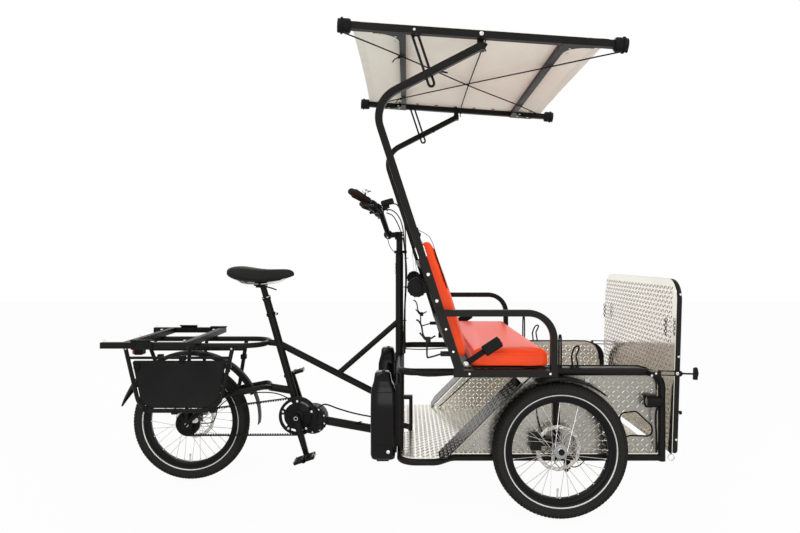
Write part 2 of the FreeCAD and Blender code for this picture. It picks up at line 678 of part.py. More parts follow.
# ---------------------------------------------------------------- passenger box

def upper_frame():
    """Hand rail round the box that runs down into the two front posts."""
    foot = LOWER_Z - LOWER_R
    tube = bent_tube([(BOX_FRONT_X, -RAIL_Y, foot, 0), (BOX_FRONT_X, -RAIL_Y, UPPER_Z, 62),
                      (BOX_REAR_X, -RAIL_Y, UPPER_Z, 60), (BOX_REAR_X, RAIL_Y, UPPER_Z, 60),
                      (BOX_FRONT_X, RAIL_Y, UPPER_Z, 62), (BOX_FRONT_X, RAIL_Y, foot, 0)], RAIL_R)
    boss = rod((0, 0, UPPER_Z - 18), (0, 0, UPPER_Z + 18), BOSS_R)
    bore = rod((0, 0, UPPER_Z - 30), (0, 0, UPPER_Z + 30), POST_SHAFT_R + RUNNING)
    return fuse([tube, boss]).cut(bore)


def lower_hoop_points():
    """Lower hoop's centreline, open at the front posts."""
    taper = BULGE_X + (BULGE_Y - RAIL_Y)
    half = [(BOX_FRONT_X, RAIL_Y, 0), (taper, RAIL_Y, 45), (BULGE_X, BULGE_Y, 45),
            (BOX_REAR_X, BULGE_Y, 62), (BOX_REAR_X, 100, 25), (PIVOT_JOG_X, 55, 25)]
    right = [(x, -y, LOWER_Z, bend) for x, y, bend in half]
    left = [(x, y, LOWER_Z, bend) for x, y, bend in reversed(half)]
    return right + left


def lower_frame(posts):
    """Lower hoop with its front cross tube, the pivot lugs and the gate's hinge ears."""
    hoop = bent_tube(lower_hoop_points(), LOWER_R)
    front = rod((BOX_FRONT_X, -RAIL_Y, LOWER_Z), (BOX_FRONT_X, RAIL_Y, LOWER_Z), LOWER_R)
    made = [hoop, front]
    for low in (SHAFT[0] + 2, HEAD_LOWER[1] + 2):
        made.append(box((0, PIVOT_JOG_X + 8), (-18, 18), (low, low + 14)))
        made.append(rod((0, 0, low), (0, 0, low + 14), 18))
    made.append(box(PIVOT_WEB_X, (-18, 18), (SHAFT[0] + 2, HEAD_LOWER[1] + 16)))
    for y in HINGE_YS:
        for ear in (y - 24, y + 18):
            made.append(box((BOX_FRONT_X, HINGE_X), (ear, ear + 6),
                            (HINGE_Z - HINGE_EAR_R, HINGE_Z + HINGE_EAR_R)))
            made.append(y_disc(HINGE_X, HINGE_Z, HINGE_EAR_R, (ear, ear + 6)))
    frame = fuse(made)
    frame = frame.cut(rod((0, 0, 100), (0, 0, 400), POST_SHAFT_R + RUNNING))
    frame = frame.cut(posts)
    pins = [y_disc(HINGE_X, HINGE_Z, HINGE_PIN_R, (y - 27, y + 27)) for y in HINGE_YS]
    return fuse([frame] + pins)


def box_posts(hoops):
    """Rear posts of the box with the carriers that the batteries slide onto."""
    made = []
    for side in (-1, 1):
        y = side * REAR_POST_Y
        post = rod((BOX_REAR_X, y, LOWER_Z), (BOX_REAR_X, y, UPPER_Z), POST_R)
        carrier = box((BATTERY_X[1], BOX_REAR_X), (y - 5, y + 25) if side > 0 else (y - 25, y + 5),
                      (250, 500))
        made.append(fuse([post, carrier]).cut(hoops))
    return group(made)


def axle_post(side, hoops):
    """Post with its stub axle and the brake caliper that straddles the rotor."""
    post = rod((FRONT_AXLE_X, side * RAIL_Y, LOWER_Z), (FRONT_AXLE_X, side * RAIL_Y, UPPER_Z), POST_R)
    shoulder = TRACK_HALF - (ROTOR_OFFSET - ROTOR_THICK / 2) - 1
    nut = (TRACK_HALF + FLANGE_OFFSET + 5, TRACK_HALF + 34)
    turned = [
        # radius, inner, outer
        (13, RAIL_Y, shoulder),
        (FRONT_AXLE_R, RAIL_Y, TRACK_HALF + 36),
        (12, nut[0], nut[1]),
    ]
    made = [post] + [y_disc(FRONT_AXLE_X, TYRE_R, r, side_span(side, low, high)) for r, low, high in turned]
    return fuse(made + caliper(side)).cut(hoops)


def caliper(side):
    """Brake caliper behind the axle, and the arm that carries it."""
    rotor_y = TRACK_HALF - ROTOR_OFFSET
    x = FRONT_AXLE_X - ROTOR_R + 6
    z = (TYRE_R - 8, TYRE_R + 52)
    body = box((x - 22, x + 18), side_span(side, RAIL_Y + 2, rotor_y + 8), z)
    slot = box((x - 30, x + 30), side_span(side, rotor_y - 2.5, rotor_y + 2.5), (z[0] - 9, z[1] + 9))
    back = box((x - 23, x - 13), side_span(side, RAIL_Y + 2, rotor_y + 8), z)
    arm = box((x, FRONT_AXLE_X), side_span(side, RAIL_Y - 6, RAIL_Y + 14), (TYRE_R + 4, TYRE_R + 34))
    return [body.cut(slot), back, arm]


def floor_plate(posts):
    """Tread plate floor on top of the lower hoop."""
    points = [(x, y, LOWER_Z + LOWER_R, bend) for x, y, z, bend in lower_hoop_points()]
    points[0] = points[0][:3] + (3,)
    points[-1] = points[-1][:3] + (3,)
    plate = Part.Face(bent_path(points, True)).extrude(V(0, 0, SHEET))
    notch = box((PIVOT_WEB_X[0] - 1, PIVOT_WEB_X[1] + 1), (-19, 19), (LOWER_Z, LOWER_Z + 40))
    return plate.cut(posts).cut(notch)


def side_wall(side_y, posts):
    """Outline of one side wall: rounded front top corner, slanted rear edge."""
    low = LOWER_Z + LOWER_R + SHEET
    rear, front, top = WALL_REAR_X, BOX_FRONT_X - RAIL_R, WALL_TOP_Z
    slant = (top - low) * SPLASH_RUN
    outline = bent_path([(rear, 0, low, 1), (front, 0, low, 1), (front, 0, top, WALL_CORNER),
                         (rear + slant, 0, top, 20)], True)
    inner, outer = side_y
    wall = Part.Face(outline).extrude(V(0, outer - inner, 0)).translated(V(0, inner, 0))
    hole = bent_path([(x, 0, z, bend) for x, z, bend in HAND_HOLE], True)
    cutter = Part.Face(hole).extrude(V(0, outer - inner + 2, 0)).translated(V(0, inner - 1, 0))
    return wall.cut(cutter).cut(posts)


def splash_panel(side, hoops):
    """Slanted tread plate that keeps the wheel's spray out of the box."""
    inner = RAIL_Y - RAIL_R
    run = (SPLASH_HIGH[0] - SPLASH_LOW[0], SPLASH_HIGH[1] - SPLASH_LOW[1])
    length = hypot(*run)
    off = (-run[1] / length * SHEET, run[0] / length * SHEET)
    corners = [SPLASH_LOW, SPLASH_HIGH, (SPLASH_HIGH[0] + off[0], SPLASH_HIGH[1] + off[1]),
               (SPLASH_LOW[0] + off[0], SPLASH_LOW[1] + off[1])]
    panel = side_plate(corners, side_span(side, inner, SPLASH_OUT))
    foot = SPLASH_LOW[1]
    cut_off = ((SPLASH_FOOT_OUT, foot), (SPLASH_OUT, foot + SPLASH_CORNER),
               (SPLASH_OUT, foot - SHEET), (SPLASH_FOOT_OUT, foot - SHEET))
    spots = [V(SPLASH_LOW[0] - SPLASH_CORNER, side * y, z) for y, z in cut_off]
    corner = Part.Face(Part.makePolygon(spots + [spots[0]])).extrude(V(3 * SPLASH_CORNER, 0, 0))
    return panel.cut(corner).cut(hoops)


def front_fender(side):
    """Flat-arched mudguard under the hand rail."""
    outer = UPPER_Z - RAIL_R - SEAT - TYRE_R
    ring = polygon_ring([(-1, outer - 2.5), (-1, outer), (84, outer), (84, outer - 2.5)])
    reach = 2 * outer
    first, last = radians(50), radians(109)
    ends = [(reach * cos(turn), reach * sin(turn)) for turn in (first, last)]
    keep = side_plate([(0, 0)] + ends, (-5, 90))
    shell = ring.common(keep)
    if side < 0:
        shell = shell.mirror(V(0, 0, 0), AXIS_Y)
    return shell.translated(V(FRONT_AXLE_X, side * (RAIL_Y - 2), TYRE_R))


def battery(side):
    """Battery case with its sloped top and rounded foot."""
    (x1, x2), (z1, z2) = BATTERY_X, BATTERY_Z
    outline = bent_path([(x2, 0, z1, 6), (x2, 0, z2, 18), (x2 - 42, 0, z2, 14), (x1, 0, z2 - 88, 20),
                         (x1, 0, z1, 26)], True)
    low, high = side_span(side, *BATTERY_Y)
    return Part.Face(outline).extrude(V(0, high - low, 0)).translated(V(0, low, 0))


def side_lamp(side):
    """Lamp housing on the front post."""
    shape = box((BOX_FRONT_X - 78, BOX_FRONT_X - 8), side_span(side, RAIL_Y - 12, RAIL_Y + 20), (422, 468))
    shape = shape.makeFillet(9, [e for e in shape.Edges])
    return shape


def latch_anchor(side):
    """Block on the rail that the gate's strap hooks onto."""
    return box((BOX_FRONT_X - 62, BOX_FRONT_X - 38), side_span(side, RAIL_Y + 8, GATE_HALF + 20),
               (UPPER_Z - 8, UPPER_Z + 10))


# ---------------------------------------------------------------- steering

def steering_post():
    """Shaft fixed to the box, turning in the rear frame's two head tubes."""
    shaft = rod((0, 0, SHAFT[0]), (0, 0, SHAFT[1]), POST_SHAFT_R)
    collar = rod((0, 0, UPPER_Z + 19), (0, 0, HEAD_UPPER[0] - 1), 17.5)
    top = rod((0, 0, HEAD_UPPER[1] + 1), (0, 0, HEAD_UPPER[1] + 14), 19)
    return fuse([shaft, collar, top])


def bar_points():
    """Handlebar centreline from the right grip to the left one, with bend radii."""
    x0, z0 = BAR_CLAMP
    right = [(x0 + x, -y, z0 + z, bend) for (x, y, z), bend in zip(reversed(BAR[1:]), (0, 55, 30))]
    left = [(x0 + x, y, z0 + z, bend) for (x, y, z), bend in zip(BAR[1:], (30, 55, 0))]
    return right + left


def stem(bar, post):
    """Stem from the shaft's top back to the handlebar."""
    x, z = BAR_CLAMP
    made = [rod((0, 0, z - 22), (0, 0, z + 13), 20.5), box((x, 0), (-15, 15), (z - 13, z + 11)),
            y_disc(x, z, 20, (-27, 27))]
    return fuse(made).cut([bar, post])


def grip(side, bar):
    """Handlebar grip, bored for the bar."""
    x0, z0 = BAR_CLAMP
    end = V(x0 + BAR[3][0], side * BAR[3][1], z0 + BAR[3][2])
    bend = V(x0 + BAR[2][0], side * BAR[2][1], z0 + BAR[2][2])
    along = (end - bend).normalize()
    outer = end + along * 4
    inner = end - along * GRIP_LENGTH
    shape = rod(tuple(inner), tuple(outer), GRIP_R)
    return shape.cut(bar)


def lever(side):
    """Brake lever: its clamp, its tank and the blade in front of the grip."""
    x0, z0 = BAR_CLAMP
    end = V(x0 + BAR[3][0], side * BAR[3][1], z0 + BAR[3][2])
    bend = V(x0 + BAR[2][0], side * BAR[2][1], z0 + BAR[2][2])
    along = (end - bend).normalize()
    base = end - along * (GRIP_LENGTH + 22)
    clamp = rod(tuple(base - along * 14), tuple(base + along * 14), 17)
    rearward = along.cross(AXIS_Z).normalize() * side
    tank = rod(tuple(base), tuple(base - rearward * 40 - AXIS_Z * 8), 10)
    blade = rod(tuple(base - rearward * 36 - AXIS_Z * 8),
                tuple(base - rearward * 44 + along * 95 - AXIS_Z * 22), 5)
    return fuse([clamp, tank, blade])


def display():
    """Display on a bracket at the bar's right bend."""
    x, z = BAR_CLAMP
    case = box((x + DISPLAY_X[0], x + DISPLAY_X[1]), DISPLAY_Y, (z + DISPLAY_Z[0], z + DISPLAY_Z[1]))
    bracket = box((x + DISPLAY_X[0] - 16, x + DISPLAY_X[0] + 12), (DISPLAY_Y[1] - 18, DISPLAY_Y[1] - 6),
                  (z + DISPLAY_Z[0] - 52, z + DISPLAY_Z[0]))
    return fuse([case, bracket])


# ---------------------------------------------------------------- gate

def gate_nodes(nodes):
    """Front gate: tube frame, tread plate and draw latches, leaning a little forwards."""
    corners = [(-GATE_HALF, GATE_BOTTOM_Z, 0), (-GATE_HALF, GATE_TOP_Z, GATE_CORNER),
               (GATE_HALF, GATE_TOP_Z, GATE_CORNER), (GATE_HALF, GATE_BOTTOM_Z, 0)]
    frame = bent_tube([(GATE_X, y, z, bend) for y, z, bend in corners], GATE_R)
    made = [frame, rod((GATE_X, -GATE_HALF, GATE_BOTTOM_Z), (GATE_X, GATE_HALF, GATE_BOTTOM_Z), GATE_R)]
    for end in (-1, 1):
        made.append(Part.makeSphere(GATE_R, V(GATE_X, end * GATE_HALF, GATE_BOTTOM_Z)))
    for y in HINGE_YS:
        made.append(y_disc(HINGE_X, HINGE_Z, HINGE_EAR_R, (y - 16, y + 16)))
        made.append(box((HINGE_X - 3, HINGE_X + 6), (y - 16, y + 16), (HINGE_Z, GATE_BOTTOM_Z)))
    frame = fuse(made)
    for y in HINGE_YS:
        frame = frame.cut(y_disc(HINGE_X, HINGE_Z, HINGE_PIN_R + RUNNING, (y - 30, y + 30)))
    wide, low, high = GATE_HALF + GATE_R, GATE_BOTTOM_Z - GATE_R, GATE_TOP_Z + GATE_R
    outline = bent_path([(0, -wide, low, 2), (0, -wide, high, GATE_CORNER + GATE_R),
                         (0, wide, high, GATE_CORNER + GATE_R), (0, wide, low, 2)], True)
    plate = Part.Face(outline).extrude(V(GATE_SHEET, 0, 0)).translated(V(GATE_X - GATE_R - GATE_SHEET, 0, 0))
    latches = group([latch(side) for side in (-1, 1)])
    latches = latches.cut(frame)
    for name, shape in (("gate_frame", frame), ("gate_plate", plate), ("gate_latches", latches)):
        shape.rotate(V(HINGE_X, 0, HINGE_Z), AXIS_Y, GATE_LEAN)
        nodes[name] = shape


def latch(side):
    """Draw latch: boss on the gate's upright, strap back to the rail and a T handle ahead."""
    z = UPPER_Z + LATCH_LIFT
    y = GATE_HALF + GATE_R
    beside = side_span(side, y + 2, y + 7)
    boss = y_disc(GATE_X + 4, z, LATCH_BOSS_R, side_span(side, y - 6, y + 10))
    strap = [box((BOX_FRONT_X - LATCH_BACK, GATE_X), beside, (z + h - 2, z + h + 2)) for h in (-8, 8)]
    hook = box((BOX_FRONT_X - LATCH_BACK - 4, BOX_FRONT_X - LATCH_BACK + 7), beside, (z - 10, z + 10))
    stem = box((GATE_X, GATE_X + LATCH_HANDLE_X[0] + 2), side_span(side, y + 1, y + 8), (z - 3, z + 3))
    bar = box((GATE_X + LATCH_HANDLE_X[0], GATE_X + LATCH_HANDLE_X[1]), side_span(side, y - 1, y + 10),
              (z - LATCH_HANDLE_HALF, z + LATCH_HANDLE_HALF))
    return fuse([boss] + strap + [hook, stem, bar])


# ---------------------------------------------------------------- bench

def back_post_x(z):
    """X of the back posts' centreline at a height."""
    return BACK_POST_FOOT_X - RECLINE * (z - BENCH_TOP)


def back_posts():
    """Square posts of the bench back, from the base rails up."""
    depth, width = BACK_POST
    made = []
    for side in (-1, 1):
        foot_z = BENCH_TOP - 20
        ends = [(back_post_x(z), z, 0) for z in (foot_z, BACK_POST_TOP_Z)]
        post = flat_bar(ends, depth, width, side * BENCH_Y)
        made.append(post.cut(box((0, 400), (-700, 700), (BENCH_TOP - 80, BENCH_TOP))))
    return made


def bench_frame():
    """Base rails, cross tubes and seat pan."""
    half = BENCH_TUBE / 2
    made = [box(BENCH_X, side_span(side, BENCH_Y - half, BENCH_Y + half), (BENCH_LOW, BENCH_TOP))
            for side in (-1, 1)]
    made += [box((x - half, x + half), (-BENCH_Y, BENCH_Y), (BENCH_LOW, BENCH_TOP)) for x in BENCH_CROSS_X]
    return fuse(made + [seat_pan()])


def back_frame(base):
    """Posts, bars and board of the back, standing on the base."""
    made = back_posts()
    face = BACK_POST_FOOT_X + BACK_FACE
    half = BACK_BAR / 2
    for z in BACK_BARS_Z:
        bar = box((face - BACK_BAR + 4, face), (-BENCH_Y, BENCH_Y), (z - half, z + half))
        made.append(leaned(bar))
    return fuse(made + [back_board()]).cut(base)


def seat_pan():
    """Pressed pan under the seat cushion."""
    half = CUSHION_HALF - 5
    return box((SEAT_X[0] - 22, SEAT_X[1] - 2), (-half, half), (BENCH_TOP, SEAT_BASE))


def rounded_block(x, y, z, radius):
    """Block with all its edges rounded."""
    shape = box(x, y, z)
    return shape.makeFillet(radius, shape.Edges)


def leaned(shape):
    """Turn a piece that was drawn upright on the foot of the back posts."""
    shape.rotate(V(BACK_POST_FOOT_X, 0, BENCH_TOP), AXIS_Y, -degrees(atan2(RECLINE, 1)))
    return shape


def along_back(z):
    """Height of a spot on the back while the back still stands upright."""
    return (z - BENCH_TOP) * sqrt(1 + RECLINE ** 2) + BENCH_TOP


def back_board():
    """Board on the back bars."""
    x = BACK_POST_FOOT_X + BACK_FACE
    low, high = along_back(BACK_Z[0]) + 12, along_back(BACK_Z[1]) - 12
    return leaned(box((x, x + BOARD_THICK), (-CUSHION_HALF + 8, CUSHION_HALF - 8), (low, high)))


def back_cushion():
    """Cushion in front of the back board."""
    x = BACK_POST_FOOT_X + BACK_FACE + BOARD_THICK + SEAT
    z = (along_back(BACK_Z[0]), along_back(BACK_Z[1]))
    return leaned(rounded_block((x, x + BACK_THICK), (-CUSHION_HALF, CUSHION_HALF), z, CUSHION_EDGE))


def armrest(side, posts):
    """Bent square tube from the back post to the base rail."""
    start = back_post_x(ARM_Z)
    line = [(start, ARM_Z, 0), (ARM_X, ARM_Z, ARM_CORNER), (ARM_X, BENCH_TOP, 0)]
    return flat_bar(line, ARM_TUBE, ARM_TUBE, side * BENCH_Y).cut(posts)


def seat_belt(side):
    """Belt reel behind the back post and buckle on its stalk beside the cushion."""
    inner = BENCH_Y - BACK_POST[1] / 2 - SEAT
    z = REEL_Z
    x = back_post_x(z) - REEL_BEHIND
    reel = y_disc(x, z, REEL_R, side_span(side, inner - REEL_WIDTH, inner))
    foot = box((x, back_post_x(z) + 12), side_span(side, inner - 4, inner), (z - 14, z + 14))
    bolt = (BUCKLE_X[0], BENCH_TOP + 20)
    tip = (BUCKLE_X[1], bolt[1] + 52)
    stalk = side_plate([(bolt[0] - 6, bolt[1] + 6), (tip[0] - 6, tip[1] + 6), (tip[0] + 6, tip[1] - 6),
                        (bolt[0] + 6, bolt[1] - 6)], side_span(side, inner - 6, inner))
    eye = fuse([y_disc(bolt[0], bolt[1], 14, side_span(side, inner - 6, inner)),
                box((bolt[0] - 14, bolt[0] + 14), side_span(side, inner - 6, inner), (BENCH_TOP, bolt[1]))])
    buckle = box((tip[0] - 12, tip[0] + 58), side_span(side, inner - 14, inner + 4),
                 (tip[1] - 22, tip[1] + 22))
    buckle.rotate(V(tip[0], 0, tip[1]), AXIS_Y, -BUCKLE_SLOPE)
    return [fuse([reel, foot]), fuse([stalk, eye, buckle])]


# ---------------------------------------------------------------- canopy

def canopy_corner():
    """Where the canopy posts' and arms' centrelines meet, as (x, z)."""
    rise_at_zero = ARM_END_Z - ARM_RISE * ARM_END_X
    x = (BACK_POST_FOOT_X - RECLINE * (rise_at_zero - BENCH_TOP)) / (1 + RECLINE * ARM_RISE)
    return x, rise_at_zero + ARM_RISE * x


def canopy_post(side):
    """Post bolted outside the back post, bent forward into the arm, with the tilt ear."""
    depth, width = CANOPY_POST
    corner_x, corner_z = canopy_corner()
    foot_z = CANOPY_POST_FOOT_Z
    line = [(back_post_x(foot_z), foot_z, 0), (corner_x, corner_z, CANOPY_BEND), (ARM_END_X, ARM_END_Z, 0)]
    tube = flat_bar(line, depth, width, side * CANOPY_Y)
    inner = CANOPY_Y - width / 2
    ear_in = CANOPY_Y - RAIL_SIZE / 2 - 12
    ear_out = CANOPY_Y - RAIL_SIZE / 2 - 1
    stub = box((ARM_END_X - 14, ARM_END_X + 14), side_span(side, ear_in, CANOPY_Y + width / 2),
               (ARM_END_Z - 14, TILT_Z - 30))
    ear = box((ARM_END_X - EAR_R, ARM_END_X + EAR_R), side_span(side, ear_in, ear_out),
              (ARM_END_Z - EAR_R, TILT_Z))
    eye = y_disc(ARM_END_X, TILT_Z, EAR_R, side_span(side, ear_in, ear_out))
    pin = y_disc(ARM_END_X, TILT_Z, TILT_PIN_R, side_span(side, ear_in, CANOPY_Y + RAIL_SIZE / 2 + 5))
    clamp_z = ARM_END_Z + ARM_RISE * (STAY_CLAMP_X - ARM_END_X)
    clamp = y_disc(STAY_CLAMP_X, clamp_z, CLAMP_R, side_span(side, STAY_Y - 14, inner + 2))
    spacer = y_disc(STAY_CLAMP_X, clamp_z, 9, side_span(side, STAY_Y + STAY_THICK + 1, inner + 1))
    return fuse([tube, stub, ear, eye, pin, clamp, spacer])


def tilted(shape):
    """Turn a piece that was drawn level round the tilt bolt."""
    shape.rotate(V(ARM_END_X, 0, TILT_Z), AXIS_Y, CANOPY_TILT)
    return shape


def canopy_frame():
    """Side rails with end knobs, two cross bars and their gusset plates."""
    half, bar = RAIL_SIZE / 2, CROSS_SIZE / 2
    made = []
    for side in (-1, 1):
        y = side * CANOPY_Y
        made.append(box((ARM_END_X + RAIL_REAR, ARM_END_X + RAIL_FRONT), (y - half, y + half),
                        (TILT_Z - half, TILT_Z + half)))
        for end, way in ((RAIL_REAR, -1), (RAIL_FRONT, 1)):
            x = ARM_END_X + end
            made.append(rod((x, y, TILT_Z), (x + way * KNOB[1], y, TILT_Z), KNOB[0]))
        stay_x = ARM_END_X + STAY_AT
        made.append(y_disc(stay_x, TILT_Z, CLAMP_R, side_span(side, STAY_Y - 4, CANOPY_Y)))
        for at, way in zip(CROSS_AT, (-1, 1)):
            x = ARM_END_X + at + way * bar
            made.append(gusset(x, way, side))
    for at in CROSS_AT:
        x = ARM_END_X + at
        made.append(box((x - bar, x + bar), (-CANOPY_Y, CANOPY_Y), (TILT_Z - bar, TILT_Z + bar)))
    frame = fuse(made)
    bore = y_disc(ARM_END_X, TILT_Z, TILT_PIN_R + RUNNING, (-CANOPY_Y - 40, CANOPY_Y + 40))
    return tilted(frame.cut(bore))


def gusset(x, way, side):
    """Corner plate with a hollow edge, under the joint of rail and cross bar."""
    inner = CANOPY_Y - RAIL_SIZE / 2
    reach = 95.0
    z = TILT_Z - CROSS_SIZE / 2 - 3
    start = V(x - way * CROSS_SIZE, side * (inner + 30), z)
    corner = V(x + way * reach, side * (inner + 30), z)
    low = V(x + way * reach, side * (inner - 4), z)
    middle = V(x + way * 24, side * (inner - 24), z)
    high = V(x, side * (inner - reach), z)
    back = V(x - way * CROSS_SIZE, side * (inner - reach), z)
    wire = Part.Wire([Part.makePolygon([start, corner, low]), Part.Arc(low, middle, high).toShape(),
                      Part.makePolygon([high, back, start])])
    return Part.Face(wire).extrude(V(0, 0, 3.0))


def canopy_cover():
    """Canvas over the rails; their ends stick out of it."""
    half = RAIL_SIZE / 2
    low = TILT_Z + half + SEAT
    return tilted(box((ARM_END_X + COVER_AT[0], ARM_END_X + COVER_AT[1]),
                      (-CANOPY_Y - half + 1, CANOPY_Y + half - 1), (low, low + 4)))


def canopy_stay(side):
    """Slotted strap that hangs from the rail and is clamped to the arm."""
    tilt = radians(CANOPY_TILT)
    top = (ARM_END_X + STAY_AT * cos(tilt), TILT_Z - STAY_AT * sin(tilt))
    clamp = (STAY_CLAMP_X, ARM_END_Z + ARM_RISE * (STAY_CLAMP_X - ARM_END_X))
    half = STAY_WIDTH / 2
    span = side_span(side, STAY_Y, STAY_Y + STAY_THICK)
    low = top[1] - STAY_LENGTH + 2 * half

    def pill(radius, z1, z2):
        return fuse([box((top[0] - radius, top[0] + radius), span, (z2, z1)),
                     y_disc(top[0], z1, radius, span), y_disc(top[0], z2, radius, span)])
    strap = pill(half, top[1] - STAY_DROP, low)
    slot = pill(STAY_SLOT / 2, top[1] - 22, low)
    strap = strap.cut(slot).cut(y_disc(top[0], top[1], CLAMP_R + RUNNING, span))
    lean = degrees(atan2(clamp[0] - top[0], top[1] - clamp[1]))
    strap.rotate(V(top[0], 0, top[1]), AXIS_Y, -lean)
    return strap


# ---------------------------------------------------------------- the whole

def rear_half(nodes):
    """Everything that stays with the rear wheel."""
    nodes["motor"] = motor()
    nodes["rack_loop"] = rack_loop()
    nodes["main_frame"] = main_frame(nodes["motor"], nodes["rack_loop"])
    nodes["seat_post"] = seat_post()
    nodes["saddle"] = saddle()
    nodes["drive_belt"] = belt()
    nodes["crankset"] = crankset()
    nodes["pedal_right"] = pedal(-1, 1)
    nodes["pedal_left"] = pedal(1, -1)
    nodes["rack_deck"] = rack_deck()
    hoop_nodes(nodes)
    nodes["rear_fender"] = rear_fender().cut([nodes["main_frame"], nodes["rack_loop"]])
    nodes["rear_light"] = rear_light()
    rear_wheel_nodes(nodes)


def front_half(nodes):
    """Everything that turns with the handlebar."""
    upper = upper_frame()
    nodes["upper_frame"] = upper
    nodes["lower_frame"] = lower_frame(upper)
    hoops = [upper, nodes["lower_frame"]]
    nodes["box_posts"] = box_posts(hoops)
    nodes["axle_posts"] = group([axle_post(side, hoops) for side in (-1, 1)])
    posts = [upper, nodes["box_posts"], nodes["axle_posts"]]
    nodes["floor_plate"] = floor_plate(posts)
    for name, side in SIDES:
        wall_y = side_span(side, RAIL_Y - RAIL_R - SHEET, RAIL_Y - RAIL_R)
        nodes[f"side_wall_{name}"] = side_wall(wall_y, nodes["axle_posts"])
        nodes[f"battery_{name}"] = battery(side)
    nodes["splash_panels"] = group([splash_panel(side, hoops) for side in (-1, 1)])
    nodes["front_fenders"] = group([front_fender(side).cut(nodes["axle_posts"]) for side in (-1, 1)])
    nodes["side_lamps"] = group([side_lamp(side).cut(upper) for side in (-1, 1)])
    nodes["latch_anchors"] = group([latch_anchor(side).cut(upper) for side in (-1, 1)])
    bar = bent_tube(bar_points(), BAR_R)
    nodes["handlebar"] = bar
    nodes["steering_post"] = steering_post()
    nodes["stem"] = stem(bar, nodes["steering_post"])
    nodes["grips"] = group([grip(side, bar) for side in (-1, 1)])
    nodes["bar_controls"] = group([lever(side).cut(bar) for side in (-1, 1)] + [display().cut(bar)])
    gate_nodes(nodes)
    front_wheel_nodes(nodes)


def bench_and_canopy(nodes):
    """Bench, belts, and the canopy on its posts."""
    nodes["bench_frame"] = bench_frame()
    nodes["back_frame"] = back_frame(nodes["bench_frame"])
    top = SEAT_BASE + SEAT
    nodes["seat_cushion"] = rounded_block(SEAT_X, (-CUSHION_HALF, CUSHION_HALF), (top, top + SEAT_THICK),
                                          CUSHION_EDGE)
    nodes["back_cushion"] = back_cushion()
    for name, side in SIDES:
        nodes[f"side_wall_{name}"] = nodes[f"side_wall_{name}"].cut(nodes["bench_frame"])
        nodes[f"canopy_stay_{name}"] = canopy_stay(side)
    frames = [nodes["bench_frame"], nodes["back_frame"]]
    nodes["armrests"] = group([armrest(side, frames) for side in (-1, 1)])
    nodes["seat_belts"] = group([part for side in (-1, 1) for part in seat_belt(side)])
    nodes["canopy_posts"] = group([canopy_post(side) for side in (-1, 1)])
    nodes["canopy_frame"] = canopy_frame()
    nodes["canopy_cover"] = canopy_cover()


def footprint_middle():
    """X half way between the rear mudguard's tip and the latch handles."""
    tip = radians(166)
    rear = REAR_AXLE_X + (FENDER_R + 3.0) * cos(tip)
    lean = radians(GATE_LEAN)
    handle = (GATE_X + LATCH_HANDLE_X[1] - HINGE_X, UPPER_Z + LATCH_LIFT + LATCH_HANDLE_HALF - HINGE_Z)
    front = HINGE_X + handle[0] * cos(lean) + handle[1] * sin(lean)
    return (rear + front) / 2


def main():
    nodes = {}
    rear_half(nodes)
    front_half(nodes)
    bench_and_canopy(nodes)
    shift = V(-footprint_middle(), 0, 0)
    os.makedirs("parts", exist_ok=True)
    for name, shape in nodes.items():
        shape.translated(shift).exportStep(f"parts/{name}.step")


main()
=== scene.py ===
"""Looks of a cycle rickshaw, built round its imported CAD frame.

Shapes are drawn in millimetres from the point where the steering axis meets the
ground (+X forward, +Y to the rider's left, +Z up) and become metres in the frame.
"""

import math

import bmesh
import bpy
from bpy.props import FloatProperty, FloatVectorProperty, IntProperty, PointerProperty
from mathutils import Matrix, Vector
from mathutils.bvhtree import BVHTree


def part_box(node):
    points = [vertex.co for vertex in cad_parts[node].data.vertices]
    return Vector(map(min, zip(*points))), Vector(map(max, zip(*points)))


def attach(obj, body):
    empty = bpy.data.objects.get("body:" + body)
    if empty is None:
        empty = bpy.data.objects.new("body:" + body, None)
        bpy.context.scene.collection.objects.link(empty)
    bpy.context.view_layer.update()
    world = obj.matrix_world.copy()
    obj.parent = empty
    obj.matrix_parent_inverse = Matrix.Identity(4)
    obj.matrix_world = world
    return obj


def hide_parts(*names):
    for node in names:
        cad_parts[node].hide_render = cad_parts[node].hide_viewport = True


bl_info = {"name": "Cycle rickshaw", "version": (1, 0, 0), "blender": (4, 5, 0),
    "location": "View3D > Sidebar > Rickshaw",
    "description": "Makes the looks of a passenger cycle rickshaw round its CAD frame",
    "category": "Object",}

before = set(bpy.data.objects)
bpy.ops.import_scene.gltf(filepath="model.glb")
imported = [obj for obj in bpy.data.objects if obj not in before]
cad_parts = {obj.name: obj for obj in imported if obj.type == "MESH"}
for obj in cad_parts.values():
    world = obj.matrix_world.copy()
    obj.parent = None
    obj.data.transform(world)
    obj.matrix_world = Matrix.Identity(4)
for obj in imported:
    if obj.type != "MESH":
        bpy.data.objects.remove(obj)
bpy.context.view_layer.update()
POST_LOW, POST_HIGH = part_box("steering_post")
AXIS_X = (POST_LOW.x + POST_HIGH.x) / 2
MM = 0.001
SIDES = (("right", -1), ("left", 1))

# Places that the CAD frame sets, in millimetres from the steering axis
REAR_AXLE = (-942.0, 0.0, 261.0)
FRONT_AXLE_X = 623.0
TRACK_HALF = 456.0
TYRE_R = 261.0
RIM_R = 208.0
CRANK_X, CRANK_Z = -455.0, 294.0
CRANK_LONG, CRANK_ANGLE = 168.0, math.radians(-74)
BENCH_FOOT = (225.0, 592.0)
RECLINE = 0.325
TILT_BOLT = (302.0, 1807.0)
TILT_ANGLE = math.radians(4)
RAIL_Y, RAIL_Z = 613.0, TILT_BOLT[1]
LENS_SHIFT = (-0.00875, -0.0119)
GATE_HINGE = (1064.0, 229.0)
GATE_LEAN = math.radians(1.75)


